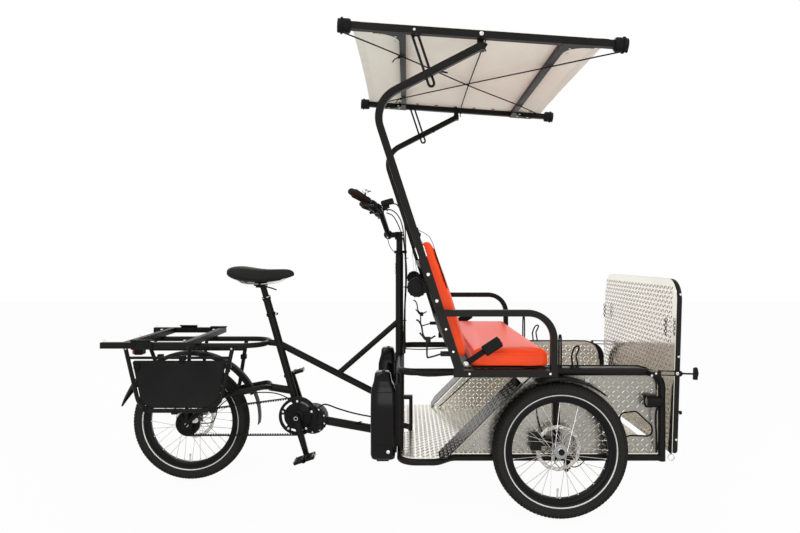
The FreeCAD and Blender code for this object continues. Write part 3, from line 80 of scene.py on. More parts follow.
# ---------------------------------------------------------------- drawing

def circle(steps):
    """Angles of evenly spaced points round a circle."""
    return [2 * math.pi * k / steps for k in range(steps)]


class Shape:
    """Points and faces of one piece, in millimetres from the steering axis."""

    def __init__(self):
        self.points, self.faces = [], []

    def add(self, points, faces):
        start = len(self.points)
        self.points += [Vector(p) for p in points]
        self.faces += [tuple(start + i for i in face) for face in faces]
        return self

    def rings(self, rings, closed=False, capped=True):
        """Skin over rings of equally many points."""
        count, points = len(rings[0]), [p for ring in rings for p in ring]
        faces = []
        spans = range(len(rings) if closed else len(rings) - 1)
        for i in spans:
            a, b = i * count, (i + 1) % len(rings) * count
            faces += [(a + k, a + (k + 1) % count, b + (k + 1) % count, b + k) for k in range(count)]
        if capped and not closed:
            faces += [tuple(reversed(range(count))), tuple(range(len(points) - count, len(points)))]
        return self.add(points, faces)

    def tube(self, path, radius, sides=10, closed=False, flat=1.0):
        """Round or flattened bar along a path; radius is one number or one for each point."""
        path = [Vector(p) for p in path]
        count = len(path)
        radii = radius if hasattr(radius, "__len__") else [radius] * count
        rings, normal = [], None
        for i, here in enumerate(path):
            back = path[i - 1] if i or closed else here
            ahead = path[(i + 1) % count] if i < count - 1 or closed else here
            along = (ahead - back).normalized()
            if normal is None:
                normal = along.orthogonal().normalized()
                if abs(along.z) < 0.9:
                    normal = (Vector((0, 0, 1)) - along * along.z).normalized()
            normal = (normal - along * normal.dot(along)).normalized()
            across = along.cross(normal)
            rings.append([here + (normal * math.cos(a) * flat + across * math.sin(a)) * radii[i]
                for a in circle(sides)])
        return self.rings(rings, closed)

    def turned(self, profile, origin, axis, steps=32):
        """Lathe work: profile is (along the axis, radius); a closed solid when it ends on the axis."""
        axis = Vector(axis).normalized()
        side = axis.orthogonal().normalized()
        other = axis.cross(side)
        rings = []
        for along, radius in profile:
            radius = max(radius, 0.02)
            rings.append([Vector(origin) + axis * along + (side * math.cos(a) + other * math.sin(a))
                * radius for a in circle(steps)])
        return self.rings(rings)

    def ring(self, profile, origin, axis, steps=96):
        """Closed ring: profile is a closed loop of (along the axis, radius)."""
        axis = Vector(axis).normalized()
        side = axis.orthogonal().normalized()
        other = axis.cross(side)
        rings = [[Vector(origin) + axis * u + (side * math.cos(a) + other * math.sin(a)) * r
            for u, r in profile] for a in circle(steps)]
        return self.rings(rings, closed=True)

    def block(self, x, y, z):
        """Block between two corners, given as three (low, high) pairs."""
        points = [(a, b, c) for a in x for b in y for c in z]
        return self.add(points, [(0, 1, 3, 2), (4, 6, 7, 5), (0, 4, 5, 1), (2, 3, 7, 6), (0, 2, 6, 4),
            (1, 5, 7, 3)])

    def plate(self, outline, depth):
        """Flat outline given as 3D points, pushed along depth."""
        near = [Vector(p) for p in outline]
        return self.rings([near, [p + Vector(depth) for p in near]])

    def move(self, matrix):
        self.points = [matrix @ p for p in self.points]
        return self

    def join(self, other):
        return self.add(other.points, other.faces)


def turn_about(x, z, angle):
    """Turn round a crosswise axis through (x, z); positive drops the front."""
    return Matrix.Translation((x, 0, z)) @ Matrix.Rotation(angle, 4, "Y") @ Matrix.Translation((-x, 0, -z))


LEANED = turn_about(*BENCH_FOOT, -math.atan(RECLINE))
TILTED = turn_about(*TILT_BOLT, TILT_ANGLE)


def mirrored(side, a, b):
    """Stretch across the vehicle as (low, high), on the right or left by side."""
    return sorted((side * a, side * b))


def rounded(corners, steps=6):
    """Loop of (u, v) with rounded corners; each corner is (u, v, radius)."""
    loop, count = [], len(corners)
    for i, (u, v, radius) in enumerate(corners):
        here = Vector((u, v))
        back = (Vector(corners[i - 1][:2]) - here).normalized()
        ahead = (Vector(corners[(i + 1) % count][:2]) - here).normalized()
        if radius <= 0:
            loop.append(here)
            continue
        half = back.angle(ahead) / 2
        cut = radius / math.tan(half)
        middle = here + (back + ahead).normalized() * radius / math.sin(half)
        start, end = here + back * cut - middle, here + ahead * cut - middle
        sweep = start.angle_signed(end)
        for k in range(steps + 1):
            loop.append(middle + Matrix.Rotation(-sweep * k / steps, 2) @ start)
    return loop


def smooth_path(points, steps=6, closed=False):
    """Curve through points, rounded evenly between them."""
    spots = [Vector(p) for p in points]
    count = len(spots)
    path = []
    for i in range(count if closed else count - 1):
        a = spots[i - 1] if i or closed else spots[0] * 2 - spots[1]
        b, c = spots[i], spots[(i + 1) % count]
        d = spots[(i + 2) % count] if i + 2 < count or closed else c * 2 - b
        for k in range(steps):
            t = k / steps
            path.append(0.5 * (2 * b + (c - a) * t + (2 * a - 5 * b + 4 * c - d) * t * t
                + (3 * b - a - 3 * c + d) * t * t * t))
    return path if closed else path + [spots[-1]]


def clean(mesh, gap, smooth):
    """Merge doubles, point the faces outwards and shade them smooth up to an angle in degrees."""
    work = bmesh.new()
    work.from_mesh(mesh)
    bmesh.ops.remove_doubles(work, verts=work.verts, dist=gap)
    bmesh.ops.recalc_face_normals(work, faces=work.faces)
    work.to_mesh(mesh)
    work.free()
    mesh.shade_smooth()
    mesh.set_sharp_from_angle(angle=math.radians(smooth))
    return mesh


def new_object(name, data):
    """Object in the scene that shows the given data."""
    obj = bpy.data.objects.new(name, data)
    bpy.context.scene.collection.objects.link(obj)
    return obj


def as_mesh(name, shape, smooth):
    """Mesh of a shape, in the frame's metres, with its faces pointing outwards."""
    mesh = bpy.data.meshes.new(name)
    mesh.from_pydata([(p.x * MM + AXIS_X, p.y * MM, p.z * MM) for p in shape.points], [], shape.faces)
    return clean(mesh, 1e-6, smooth)


def plain(name):
    """A piece's name as the frame wants it."""
    return name.lower().replace(" ", "_")


def settle(obj, finish, body, replaces=()):
    """Give a piece its finish and body, and hide the CAD nodes that it replaces."""
    if not obj.data.materials:
        obj.data.materials.append(LOOKS[finish])
    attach(obj, body)
    if replaces:
        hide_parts(*replaces)
    return obj


def piece(name, shape, finish, body, replaces=(), bevel=0.0, smooth=38, segments=2):
    """Object from a shape, with bevelled edges where bevel, in millimetres, is given."""
    name = plain(name)
    obj = new_object(name, as_mesh(name, shape, smooth))
    if bevel:
        edge = obj.modifiers.new("Edges", "BEVEL")
        edge.width, edge.segments, edge.limit_method = bevel * MM, segments, "ANGLE"
        edge.angle_limit = math.radians(35)
    return settle(obj, finish, body, replaces)


# ---------------------------------------------------------------- repeated details

def repeat_tree():
    """Node tree that sets an item on every point, turned and sized by the point's own values."""
    tree = bpy.data.node_groups.new("Repeated detail", "GeometryNodeTree")
    sockets = tree.interface
    sockets.new_socket("Geometry", in_out="INPUT", socket_type="NodeSocketGeometry")
    sockets.new_socket("Item", in_out="INPUT", socket_type="NodeSocketObject")
    sockets.new_socket("Finish", in_out="INPUT", socket_type="NodeSocketMaterial")
    size = sockets.new_socket("Size", in_out="INPUT", socket_type="NodeSocketFloat")
    size.default_value = 1.0
    sockets.new_socket("Geometry", in_out="OUTPUT", socket_type="NodeSocketGeometry")
    node, link = tree.nodes.new, tree.links.new
    given, result = node("NodeGroupInput"), node("NodeGroupOutput")
    item, placed = node("GeometryNodeObjectInfo"), node("GeometryNodeInstanceOnPoints")
    turn, euler = node("GeometryNodeInputNamedAttribute"), node("FunctionNodeEulerToRotation")
    stretch, scale = node("GeometryNodeInputNamedAttribute"), node("ShaderNodeVectorMath")
    real, paint = node("GeometryNodeRealizeInstances"), node("GeometryNodeSetMaterial")
    turn.data_type = stretch.data_type = "FLOAT_VECTOR"
    turn.inputs["Name"].default_value, stretch.inputs["Name"].default_value = "turn", "stretch"
    scale.operation = "SCALE"
    link(given.outputs["Geometry"], placed.inputs["Points"])
    link(given.outputs["Item"], item.inputs["Object"])
    link(item.outputs["Geometry"], placed.inputs["Instance"])
    link(turn.outputs["Attribute"], euler.inputs["Euler"])
    link(euler.outputs["Rotation"], placed.inputs["Rotation"])
    link(stretch.outputs["Attribute"], scale.inputs[0])
    link(given.outputs["Size"], scale.inputs["Scale"])
    link(scale.outputs["Vector"], placed.inputs["Scale"])
    link(placed.outputs["Instances"], real.inputs["Geometry"])
    link(real.outputs["Geometry"], paint.inputs["Geometry"])
    link(given.outputs["Finish"], paint.inputs["Material"])
    link(paint.outputs["Geometry"], result.inputs["Geometry"])
    return tree


def repeat(name, item, spots, finish, body, size=1.0, replaces=(), smooth=38):
    """Copies of an item drawn round the origin, its own Z set along each spot's direction.

    A spot is (place, direction, spin in radians, (x, y, z) stretch), or with no direction
    the spin is its turn. Stretch, or spin and stretch, may be left out.
    """
    name = plain(name)
    tree = bpy.data.node_groups.get("Repeated detail") or repeat_tree()
    one = bpy.data.meshes.new(name + "_item")
    one.from_pydata([p * MM for p in item.points], [], item.faces)
    pattern = new_object(name + "_item", clean(one, 1e-7, smooth))
    base = bpy.data.meshes.new(name)
    base.from_pydata([(p[0] * MM + AXIS_X, p[1] * MM, p[2] * MM) for p, *_ in spots], [], [])
    turns = base.attributes.new("turn", "FLOAT_VECTOR", "POINT")
    stretches = base.attributes.new("stretch", "FLOAT_VECTOR", "POINT")
    for i, (_, direction, *rest) in enumerate(spots):
        spin, stretch = rest + [0, (1, 1, 1)][len(rest):]
        if direction is not None:
            spin = (Vector(direction).to_track_quat("Z", "Y").to_matrix() @ Matrix.Rotation(spin, 3,
                "Z")).to_euler()
        turns.data[i].vector = spin
        stretches.data[i].vector = stretch
    obj = new_object(name, base)
    nodes = obj.modifiers.new("Repeat", "NODES")
    nodes.node_group = tree
    ids = {s.name: s.identifier for s in tree.interface.items_tree if s.in_out == "INPUT"}
    nodes[ids["Item"]], nodes[ids["Finish"]], nodes[ids["Size"]] = pattern, LOOKS[finish], size
    obj.update_tag()
    depsgraph = bpy.context.evaluated_depsgraph_get()
    made = bpy.data.meshes.new_from_object(obj.evaluated_get(depsgraph), depsgraph=depsgraph)
    made.name = name
    obj.modifiers.clear()
    obj.data = made
    for attribute in ("turn", "stretch"):
        if attribute in made.attributes:
            made.attributes.remove(made.attributes[attribute])
    bpy.data.objects.remove(pattern)
    return settle(obj, finish, body, replaces)


def bolt_item(radius=6.0, height=3.6, socket=2.6):
    """Button-head bolt with a six-sided socket, standing on the origin."""
    steps = 18
    shape = Shape()
    profile = [(0, radius), (height * 0.35, radius), (height * 0.8, radius * 0.82), (height, radius * 0.55)]
    rings = [[Vector((r * math.cos(a), r * math.sin(a), z)) for a in circle(steps)] for z, r in profile]
    for depth in (height, height * 0.3):
        ring = []
        for k in range(steps):
            a = 2 * math.pi * k / steps
            flat = socket / math.cos((a % (math.pi / 3)) - math.pi / 6) * math.cos(math.pi / 6)
            ring.append(Vector((flat * math.cos(a), flat * math.sin(a), depth)))
        rings.append(ring)
    return shape.rings(rings)


def bolt_row(name, sizes, spots, body):
    """Steel button-head bolts on the given spots; sizes are those of bolt_item."""
    return repeat(name, bolt_item(*sizes), spots, "steel", body)


def washer_bolt_item(radius=10.0):
    """Hexagon bolt on a washer."""
    shape = Shape().turned([(0, 0), (0, radius), (1.4, radius), (1.8, radius - 0.6), (1.8, 0)], (0, 0, 0),
        (0, 0, 1), 24)
    hexagon = [Vector((radius * 0.66 * math.cos(math.pi * k / 3), radius * 0.66 * math.sin(math.pi * k / 3),
        1.7)) for k in range(6)]
    return shape.rings([hexagon, [p + Vector((0, 0, 4.2)) for p in hexagon],
        [Vector((p.x * 0.85, p.y * 0.85, 6.6)) for p in hexagon]])


# ---------------------------------------------------------------- finishes

def finish(name, colour, metal=0.0, rough=0.5, tint=0.12, patch=5.0, grain=600.0, bump=0.15, kind="grain",
        coat=0.0, sheen=0.0, spread=0.08, stretch=(1, 1, 1), speck=0.0, shine=0.08, outer=1.0):
    """Procedural material: patchy colour, a fine surface of one kind, uneven gloss, and, where outer is
    below 1, painted shade on the faces turned away from the middle.
    """
    material = bpy.data.materials.new(name)
    material.use_nodes = True
    tree = material.node_tree
    node, link = tree.nodes.new, tree.links.new
    shader = tree.nodes["Principled BSDF"]
    shader.inputs["Metallic"].default_value = metal
    shader.inputs["Specular IOR Level"].default_value = shine
    shader.inputs["Coat Weight"].default_value = coat
    shader.inputs["Coat Roughness"].default_value = 0.12
    shader.inputs["Sheen Weight"].default_value = sheen
    place, spots = node("ShaderNodeTexCoord"), node("ShaderNodeTexNoise")
    spots.inputs["Scale"].default_value, spots.inputs["Detail"].default_value = patch, 5
    link(place.outputs["Object"], spots.inputs["Vector"])
    ramp = node("ShaderNodeValToRGB")
    ramp.color_ramp.elements[0].position, ramp.color_ramp.elements[1].position = 0.32, 0.68
    ramp.color_ramp.elements[0].color = tuple(c * (1 - tint) for c in colour[:3]) + (1,)
    ramp.color_ramp.elements[1].color = tuple(min(1, c * (1 + tint)) for c in colour[:3]) + (1,)
    link(spots.outputs["Fac"], ramp.inputs["Fac"])
    base = ramp.outputs["Color"]
    mapping = node("ShaderNodeMapping")
    mapping.inputs["Scale"].default_value = stretch
    link(place.outputs["Object"], mapping.inputs["Vector"])
    if kind == "weave":
        waves = []
        for direction in ("X", "Y", "Z"):
            wave = node("ShaderNodeTexWave")
            wave.bands_direction = direction
            wave.inputs["Scale"].default_value = grain
            wave.inputs["Distortion"].default_value = 0.6
            wave.inputs["Detail Scale"].default_value = 0.8
            link(mapping.outputs["Vector"], wave.inputs["Vector"])
            waves.append(wave.outputs["Fac"])
        first, second = node("ShaderNodeMath"), node("ShaderNodeMath")
        first.operation = second.operation = "MULTIPLY"
        link(waves[0], first.inputs[0])
        link(waves[1], first.inputs[1])
        link(first.outputs[0], second.inputs[0])
        link(waves[2], second.inputs[1])
        fine = second.outputs[0]
    elif kind == "pebble":
        cells = node("ShaderNodeTexVoronoi")
        cells.inputs["Scale"].default_value = grain
        link(mapping.outputs["Vector"], cells.inputs["Vector"])
        fine = cells.outputs["Distance"]
    else:
        noise = node("ShaderNodeTexNoise")
        noise.inputs["Scale"].default_value, noise.inputs["Detail"].default_value = grain, 3
        link(mapping.outputs["Vector"], noise.inputs["Vector"])
        fine = noise.outputs["Fac"]
    if speck:
        shade = node("ShaderNodeMixRGB")
        shade.blend_type = "MULTIPLY"
        shade.inputs["Fac"].default_value = speck
        link(base, shade.inputs["Color1"])
        link(fine, shade.inputs["Color2"])
        base = shade.outputs["Color"]
    # Painted shade: where outer is below 1, faces turned away from the middle plane take the colour times
    # outer.
    if outer < 1:
        facing, across = node("ShaderNodeSeparateXYZ"), node("ShaderNodeSeparateXYZ")
        away = node("ShaderNodeMath")
        link(place.outputs["Normal"], facing.inputs[0])
        link(place.outputs["Object"], across.inputs[0])
        away.operation = "MULTIPLY"
        link(facing.outputs["Y"], away.inputs[0])
        link(across.outputs["Y"], away.inputs[1])
        outside, painted_shade = node("ShaderNodeMath"), node("ShaderNodeMixRGB")
        outside.operation = "GREATER_THAN"
        outside.inputs[1].default_value = 0.0
        link(away.outputs[0], outside.inputs[0])
        painted_shade.inputs["Color2"].default_value = tuple(c * outer for c in colour[:3]) + (1,)
        link(outside.outputs[0], painted_shade.inputs["Fac"])
        link(base, painted_shade.inputs["Color1"])
        base = painted_shade.outputs["Color"]
    link(base, shader.inputs["Base Color"])
    uneven = node("ShaderNodeMapRange")
    uneven.inputs["To Min"].default_value = max(0.02, rough - spread)
    uneven.inputs["To Max"].default_value = min(1.0, rough + spread)
    link(fine if kind == "brushed" else spots.outputs["Fac"], uneven.inputs["Value"])
    link(uneven.outputs["Result"], shader.inputs["Roughness"])
    relief = node("ShaderNodeBump")
    relief.inputs["Strength"].default_value = bump
    relief.inputs["Distance"].default_value = 0.0008
    link(fine, relief.inputs["Height"])
    link(relief.outputs["Normal"], shader.inputs["Normal"])
    return material


def make_finishes(settings):
    """All finishes by name."""
    paint, vinyl, canvas = tuple(settings.paint), tuple(settings.vinyl), tuple(settings.canvas)
    brushed = {"metal": 1.0, "kind": "brushed", "shine": 0.5}
    return {"paint": finish("Powder coat", paint, rough=0.38, grain=420, bump=0.10),
        # A lighter copy of the frame paint, as painted highlight on the rails; no piece uses it.
        "rail_highlight_paint": finish("Rail coat", tuple(c * 1.3 for c in paint), rough=0.44, grain=500, bump=0.12),
        "anodised": finish("Black anodised", (0.009, 0.009, 0.0095), metal=0.3, rough=0.34, grain=900,
        bump=0.05), "plastic": finish("Moulded plastic", (0.008, 0.008, 0.008), rough=0.46, grain=1500,
        bump=0.25), "casing": finish("Motor casing", (0.014, 0.014, 0.015), metal=0.2, rough=0.42,
        grain=1200, bump=0.2), "gloss": finish("Battery shell", (0.004, 0.004, 0.005), rough=0.13, grain=60,
        bump=0.02, coat=0.15, spread=0.03), "steel": finish("Zinc plated steel", (0.62, 0.61, 0.58),
        metal=1.0, rough=0.28, grain=700, bump=0.06),
        "dark_steel": finish("Black steel wire", (0.014, 0.014, 0.014), metal=0.3, rough=0.4, grain=700,
        bump=0.05), "rotor": finish("Ground steel", (0.50, 0.48, 0.45), rough=0.3, grain=90, bump=0.08,
        stretch=(1, 1, 12), **brushed), "spoke": finish("Bright spoke", (0.60, 0.57, 0.52), metal=1.0,
        rough=0.22, grain=300, bump=0.02), "rim": finish("Anodised rim", (0.009, 0.009, 0.010), metal=0.2,
        rough=0.30, grain=300, bump=0.03), "hub": finish("Grey hub shell", (0.34, 0.34, 0.345), metal=0.9,
        # The tread plate's outer=0.46 is painted shade and painted reflection on the side walls' outside
        # faces.
        rough=0.30, grain=300, bump=0.03), "tread": finish("Tread plate", (0.68, 0.65, 0.58), rough=0.30,
        patch=3.5, grain=55, bump=0.05, stretch=(1, 1, 9), spread=0.05, tint=0.07, outer=0.46, **brushed),
        # Lozenge finishes are lighter and darker copies of their plate's metal: painted highlights and
        # painted shade on the raised lozenges.
        "tread_low": finish("Shadowed lozenges", (0.56, 0.53, 0.47), metal=1.0, rough=0.34, patch=9, grain=300,
        bump=0.04), "tread_high": finish("Highlit lozenges", (0.93, 0.91, 0.87), metal=1.0, rough=0.24,
        patch=9, grain=300, bump=0.04), "deck": finish("Polished floor plate", (0.94, 0.91, 0.83),
        rough=0.16, patch=3, grain=45, bump=0.02, spread=0.03, tint=0.04, **brushed),
        "deck_high": finish("Shaded lozenges", (0.64, 0.62, 0.56), metal=1.0, rough=0.30, patch=9,
        grain=300, bump=0.04), "splash": finish("Tyre_reflection plate", (0.030, 0.029, 0.027), rough=0.20,
        patch=6, grain=50, bump=0.05, stretch=(1, 9, 1), spread=0.05, tint=0.3, **brushed),
        # Splash panels: the plate above is darkened to a painted reflection of the black tyre, and these
        # lozenges are lighter as painted highlights.
        "splash_high": finish("Tyre_reflection lozenges", (0.36, 0.35, 0.32), metal=1.0, rough=0.26, grain=300,
        bump=0.04), "gate": finish("Bright tread plate", (0.86, 0.83, 0.75), rough=0.15, patch=3.0,
        grain=40, bump=0.03, stretch=(1, 6, 1), spread=0.04, tint=0.04, **brushed),
        # The gate's lozenges are a darker copy of its bright plate: painted shade on the raised lozenges.
        "gate_high": finish("Bright lozenges", (0.50, 0.49, 0.46), metal=1.0, rough=0.3, patch=9, grain=300,
        bump=0.04), "rubber": finish("Tyre rubber", (0.020, 0.0195, 0.018), rough=0.70, grain=900,
        bump=0.22), "stripe": finish("Reflective stripe", (0.62, 0.62, 0.60), metal=0.3, rough=0.35,
        grain=2500, bump=0.1), "grip": finish("Grip rubber", (0.022, 0.013, 0.010), rough=0.6, grain=1800,
        bump=0.3), "hose": finish("Cable jacket", (0.010, 0.010, 0.010), rough=0.38, grain=900, bump=0.05),
        "belt": finish("Drive belt", (0.012, 0.012, 0.012), rough=0.62, grain=1500, bump=0.2),
        "vinyl": finish("Seat vinyl", vinyl, rough=0.34, patch=4, grain=750, bump=0.16, kind="pebble",
        coat=0.03, tint=0.05, spread=0.05, shine=0.15),
        "webbing": finish("Belt webbing", (0.012, 0.012, 0.013), rough=0.75, grain=260, bump=0.6,
        kind="weave"), "canvas": finish("Canopy canvas", canvas, rough=0.85, patch=2.5, grain=230,
        bump=0.35, kind="weave", tint=0.03), "hem": finish("Canvas hem", tuple(c * 0.95 for c in canvas),
        rough=0.85, patch=6, grain=230, bump=0.4, kind="weave", tint=0.04),
        "pannier": finish("Pannier cloth", (0.024, 0.024, 0.024), rough=0.88, patch=9, grain=340, bump=0.5,
        kind="weave", speck=0.35), "saddle": finish("Saddle cover", (0.018, 0.0175, 0.017), rough=0.5,
        grain=1500, bump=0.3, kind="pebble"), "red": finish("Red lens", (0.42, 0.008, 0.008), rough=0.12,
        grain=500, bump=0.15, coat=0.7, spread=0.03),
        "amber": finish("Amber reflector", (0.75, 0.22, 0.01), rough=0.12, grain=600, bump=0.3, coat=0.7,
        spread=0.03), "screen": finish("Display glass", (0.01, 0.012, 0.014), rough=0.06, grain=80,
        bump=0.01, coat=1.0, spread=0.02), "lens": finish("Lamp lens", (0.10, 0.10, 0.105), rough=0.1,
        grain=600, bump=0.2, coat=1.0, spread=0.03), "brass": finish("Brass", (0.62, 0.42, 0.16), metal=1.0,
        rough=0.28, grain=600, bump=0.05),}


LOOKS = {}

CAD_FINISHES = {"paint": ("main_frame", "rack_loop", "rack_deck", "pannier_hoops", "upper_frame",
    "lower_frame", "box_posts", "axle_posts", "bench_frame", "back_frame", "armrests", "gate_frame",
    "steering_post", "seat_post", "canopy_posts", "canopy_frame"),
    "anodised": ("stem", "handlebar", "crankset", "rear_pulley"),
    "plastic": ("rear_fender", "front_fenders"), "casing": ("motor",), "belt": ("drive_belt",),
    # tread paints shade on the side walls' outside faces; splash paints the tyre's dark reflection on the
    # splash panels.
    "tread": ("side_wall_left", "side_wall_right"), "deck": ("floor_plate",), "splash": ("splash_panels",),
    "gate": ("gate_plate",), "rim": ("rear_wheel", "left_front_wheel", "right_front_wheel"),
    "dark_steel": ("gate_latches", "latch_anchors", "canopy_stay_left", "canopy_stay_right"),
    "rotor": ("rear_rotor", "left_front_rotor", "right_front_rotor"),
    "rubber": ("rear_tyre", "left_front_tyre", "right_front_tyre"), "grip": ("grips",),
    "saddle": ("saddle",), "vinyl": ("seat_cushion", "back_cushion"), "canvas": ("canopy_cover",),
    "webbing": ("seat_belts",), "pannier": ("pannier_right",), "gloss": ("battery_left", "battery_right"),
    "red": ("rear_light",),}


def dress_frame(context):
    """Set the finish of every CAD node that keeps its own shape."""
    given = {node: key for key, nodes in CAD_FINISHES.items() for node in nodes}
    for name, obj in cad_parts.items():
        obj.data.materials.clear()
        obj.data.materials.append(LOOKS[given.get(name, "plastic")])


# ---------------------------------------------------------------- stage

def straight_rays(tree):
    """Socket that is 1 for rays from the camera, off a mirror or through glass, and 0 for others."""
    node, link = tree.nodes.new, tree.links.new
    path, seen, more = node("ShaderNodeLightPath"), node("ShaderNodeMath"), node("ShaderNodeMath")
    seen.operation = more.operation = "MAXIMUM"
    link(path.outputs["Is Camera Ray"], seen.inputs[0])
    link(path.outputs["Is Glossy Ray"], seen.inputs[1])
    link(seen.outputs[0], more.inputs[0])
    link(path.outputs["Is Transmission Ray"], more.inputs[1])
    return more.outputs[0]


def make_stage(settings):
    """Floor, lamps, sky and camera."""
    scene = bpy.context.scene
    scene.view_settings.view_transform = "Standard"
    mesh = bpy.data.meshes.new("Floor")
    reach = settings.floor_size / 2
    mesh.from_pydata([(-reach, -reach, 0), (reach, -reach, 0), (reach, reach, 0), (-reach, reach, 0)], [],
        [(0, 1, 2, 3)])
    floor = new_object("Floor", mesh)
    pale = bpy.data.materials.new("Pale floor")
    pale.use_nodes = True
    tree = pale.node_tree
    node, link = tree.nodes.new, tree.links.new
    shader = tree.nodes["Principled BSDF"]
    shader.inputs["Base Color"].default_value = (0.82, 0.82, 0.81, 1)
    shader.inputs["Roughness"].default_value = 0.9
    glow, mix, share = node("ShaderNodeEmission"), node("ShaderNodeMixShader"), node("ShaderNodeMath")
    share.operation = "MULTIPLY"
    share.inputs[1].default_value = 0.95
    link(straight_rays(tree), share.inputs[0])
    link(share.outputs[0], mix.inputs["Fac"])
    link(shader.outputs["BSDF"], mix.inputs[1])
    link(glow.outputs["Emission"], mix.inputs[2])
    link(mix.outputs["Shader"], tree.nodes["Material Output"].inputs["Surface"])
    mesh.materials.append(pale)

    world = bpy.data.worlds.new("Studio")
    scene.world = world
    world.use_nodes = True
    tree = world.node_tree
    node, link = tree.nodes.new, tree.links.new
    plain = tree.nodes["Background"]
    plain.inputs["Strength"].default_value = settings.sky
    white, mix = node("ShaderNodeBackground"), node("ShaderNodeMixShader")
    plain.inputs["Color"].default_value = white.inputs["Color"].default_value = (1, 1, 1, 1)
    link(straight_rays(tree), mix.inputs["Fac"])
    link(plain.outputs["Background"], mix.inputs[1])
    link(white.outputs["Background"], mix.inputs[2])
    link(mix.outputs["Shader"], tree.nodes["World Output"].inputs["Surface"])

    lamps = (
        # name, place, aim, width, power
        ("Key lamp", (-1.6, -3.4, 4.2), (0.0, 0.0, 0.9), 2.4, settings.key),
        ("Fill lamp", (3.6, -2.2, 3.0), (0.2, 0.0, 0.8), 2.2, settings.key * 0.55),
        ("Back lamp", (-0.5, 4.0, 3.4), (0.0, 0.0, 0.9), 2.6, settings.key * 0.55),
        ("Low lamp", (0.4, -3.2, 0.4), (0.3, 0.0, 1.9), 1.6, settings.key * 0.3),
    )
    for name, place, aim, width, power in lamps:
        light = bpy.data.lights.new(name, "AREA")
        light.shape, light.size, light.energy = "SQUARE", width, power
        lamp = new_object(name, light)
        lamp.location = place
        lamp.rotation_euler = (Vector(aim) - Vector(place)).to_track_quat("-Z", "Y").to_euler()

    data = bpy.data.cameras.new("Camera")
    data.sensor_width, data.lens = 36.0, settings.lens
    data.shift_x, data.shift_y = LENS_SHIFT
    camera = new_object("Camera", data)
    camera.location = settings.camera
    camera.rotation_euler = (math.pi / 2, 0, 0)
    scene.camera = camera


# ---------------------------------------------------------------- wheels

WHEELS = (
    # name, middle, body
    ("rear", REAR_AXLE, "rear_wheel"),
    ("right_front", (FRONT_AXLE_X, -TRACK_HALF, TYRE_R), "right_front_wheel"),
    ("left_front", (FRONT_AXLE_X, TRACK_HALF, TYRE_R), "left_front_wheel"),
)
ACROSS = Vector((0, 1, 0))


def wheel_spot(middle, angle, radius, across):
    """Place on a wheel: angle from straight ahead, radius, and distance from its middle plane."""
    return Vector(middle) + Vector((radius * math.cos(angle), across, radius * math.sin(angle)))


def make_tyres(settings):
    """Balloon tyres with ridged sidewalls, a block tread and a reflective stripe."""
    half = [(0, 258.2), (9, 257.6), (17, 255.6), (22, 252.4), (25.6, 248.2), (28.2, 243.6), (29.2, 242.8),
        (28.9, 238), (29.0, 233), (28.2, 228), (27.4, 225.2), (27.9, 224.2), (26.4, 221.4), (23, 214.4),
        (19.4, 209.6), (16.2, 207.2), (12.5, 206.4)]
    profile = half + [(-u, r) for u, r in reversed(half[1:])]
    rows = ((0.0, 257.4, 0.0), (10.5, 256.8, 0.12), (20.5, 253.2, 0.62), (26.6, 247.0, 1.0))
    count = settings.tread_blocks
    pitch = 2 * math.pi / count
    block = Shape()
    wide, long = 4.1, 0.36 * pitch * TYRE_R
    block.rings([[(-wide, -long, 0), (wide, -long * 0.7, 0), (wide, long, 0), (-wide, long * 0.7, 0)],
        [(-wide + 0.8, -long + 0.9, 3.2), (wide - 0.8, -long * 0.7 + 0.9, 3.2),
        (wide - 0.8, long - 0.9, 3.2), (-wide + 0.8, long * 0.7 - 0.9, 3.2)]])
    for name, middle, body in WHEELS:
        tyre = Shape().ring(profile, middle, ACROSS, 144)
        piece(f"Tyre {name}", tyre, "rubber", body, (f"{name}_tyre",), smooth=50)
        spots = []
        for across, radius, lean in rows:
            for side in ((-1, 1) if across else (1,)):
                for k in range(count):
                    angle = (k + 0.5 * (across in (0.0, 20.5)) + 0.25) * pitch
                    out = Vector((math.cos(angle) * math.cos(lean), side * math.sin(lean),
                        math.sin(angle) * math.cos(lean)))
                    spots.append((wheel_spot(middle, angle, radius, side * across), out))
        repeat(f"Tread blocks {name}", block, spots, "rubber", body, smooth=30)
        stripes = Shape()
        for side in (-1, 1):
            stripes.ring([(side * u, r) for u, r in ((22.3, 213.2), (23.6, 213.6), (25.4, 217.4),
                (24.1, 217.6))], middle, ACROSS, 144)
        piece(f"Stripe {name}", stripes, "stripe", body)


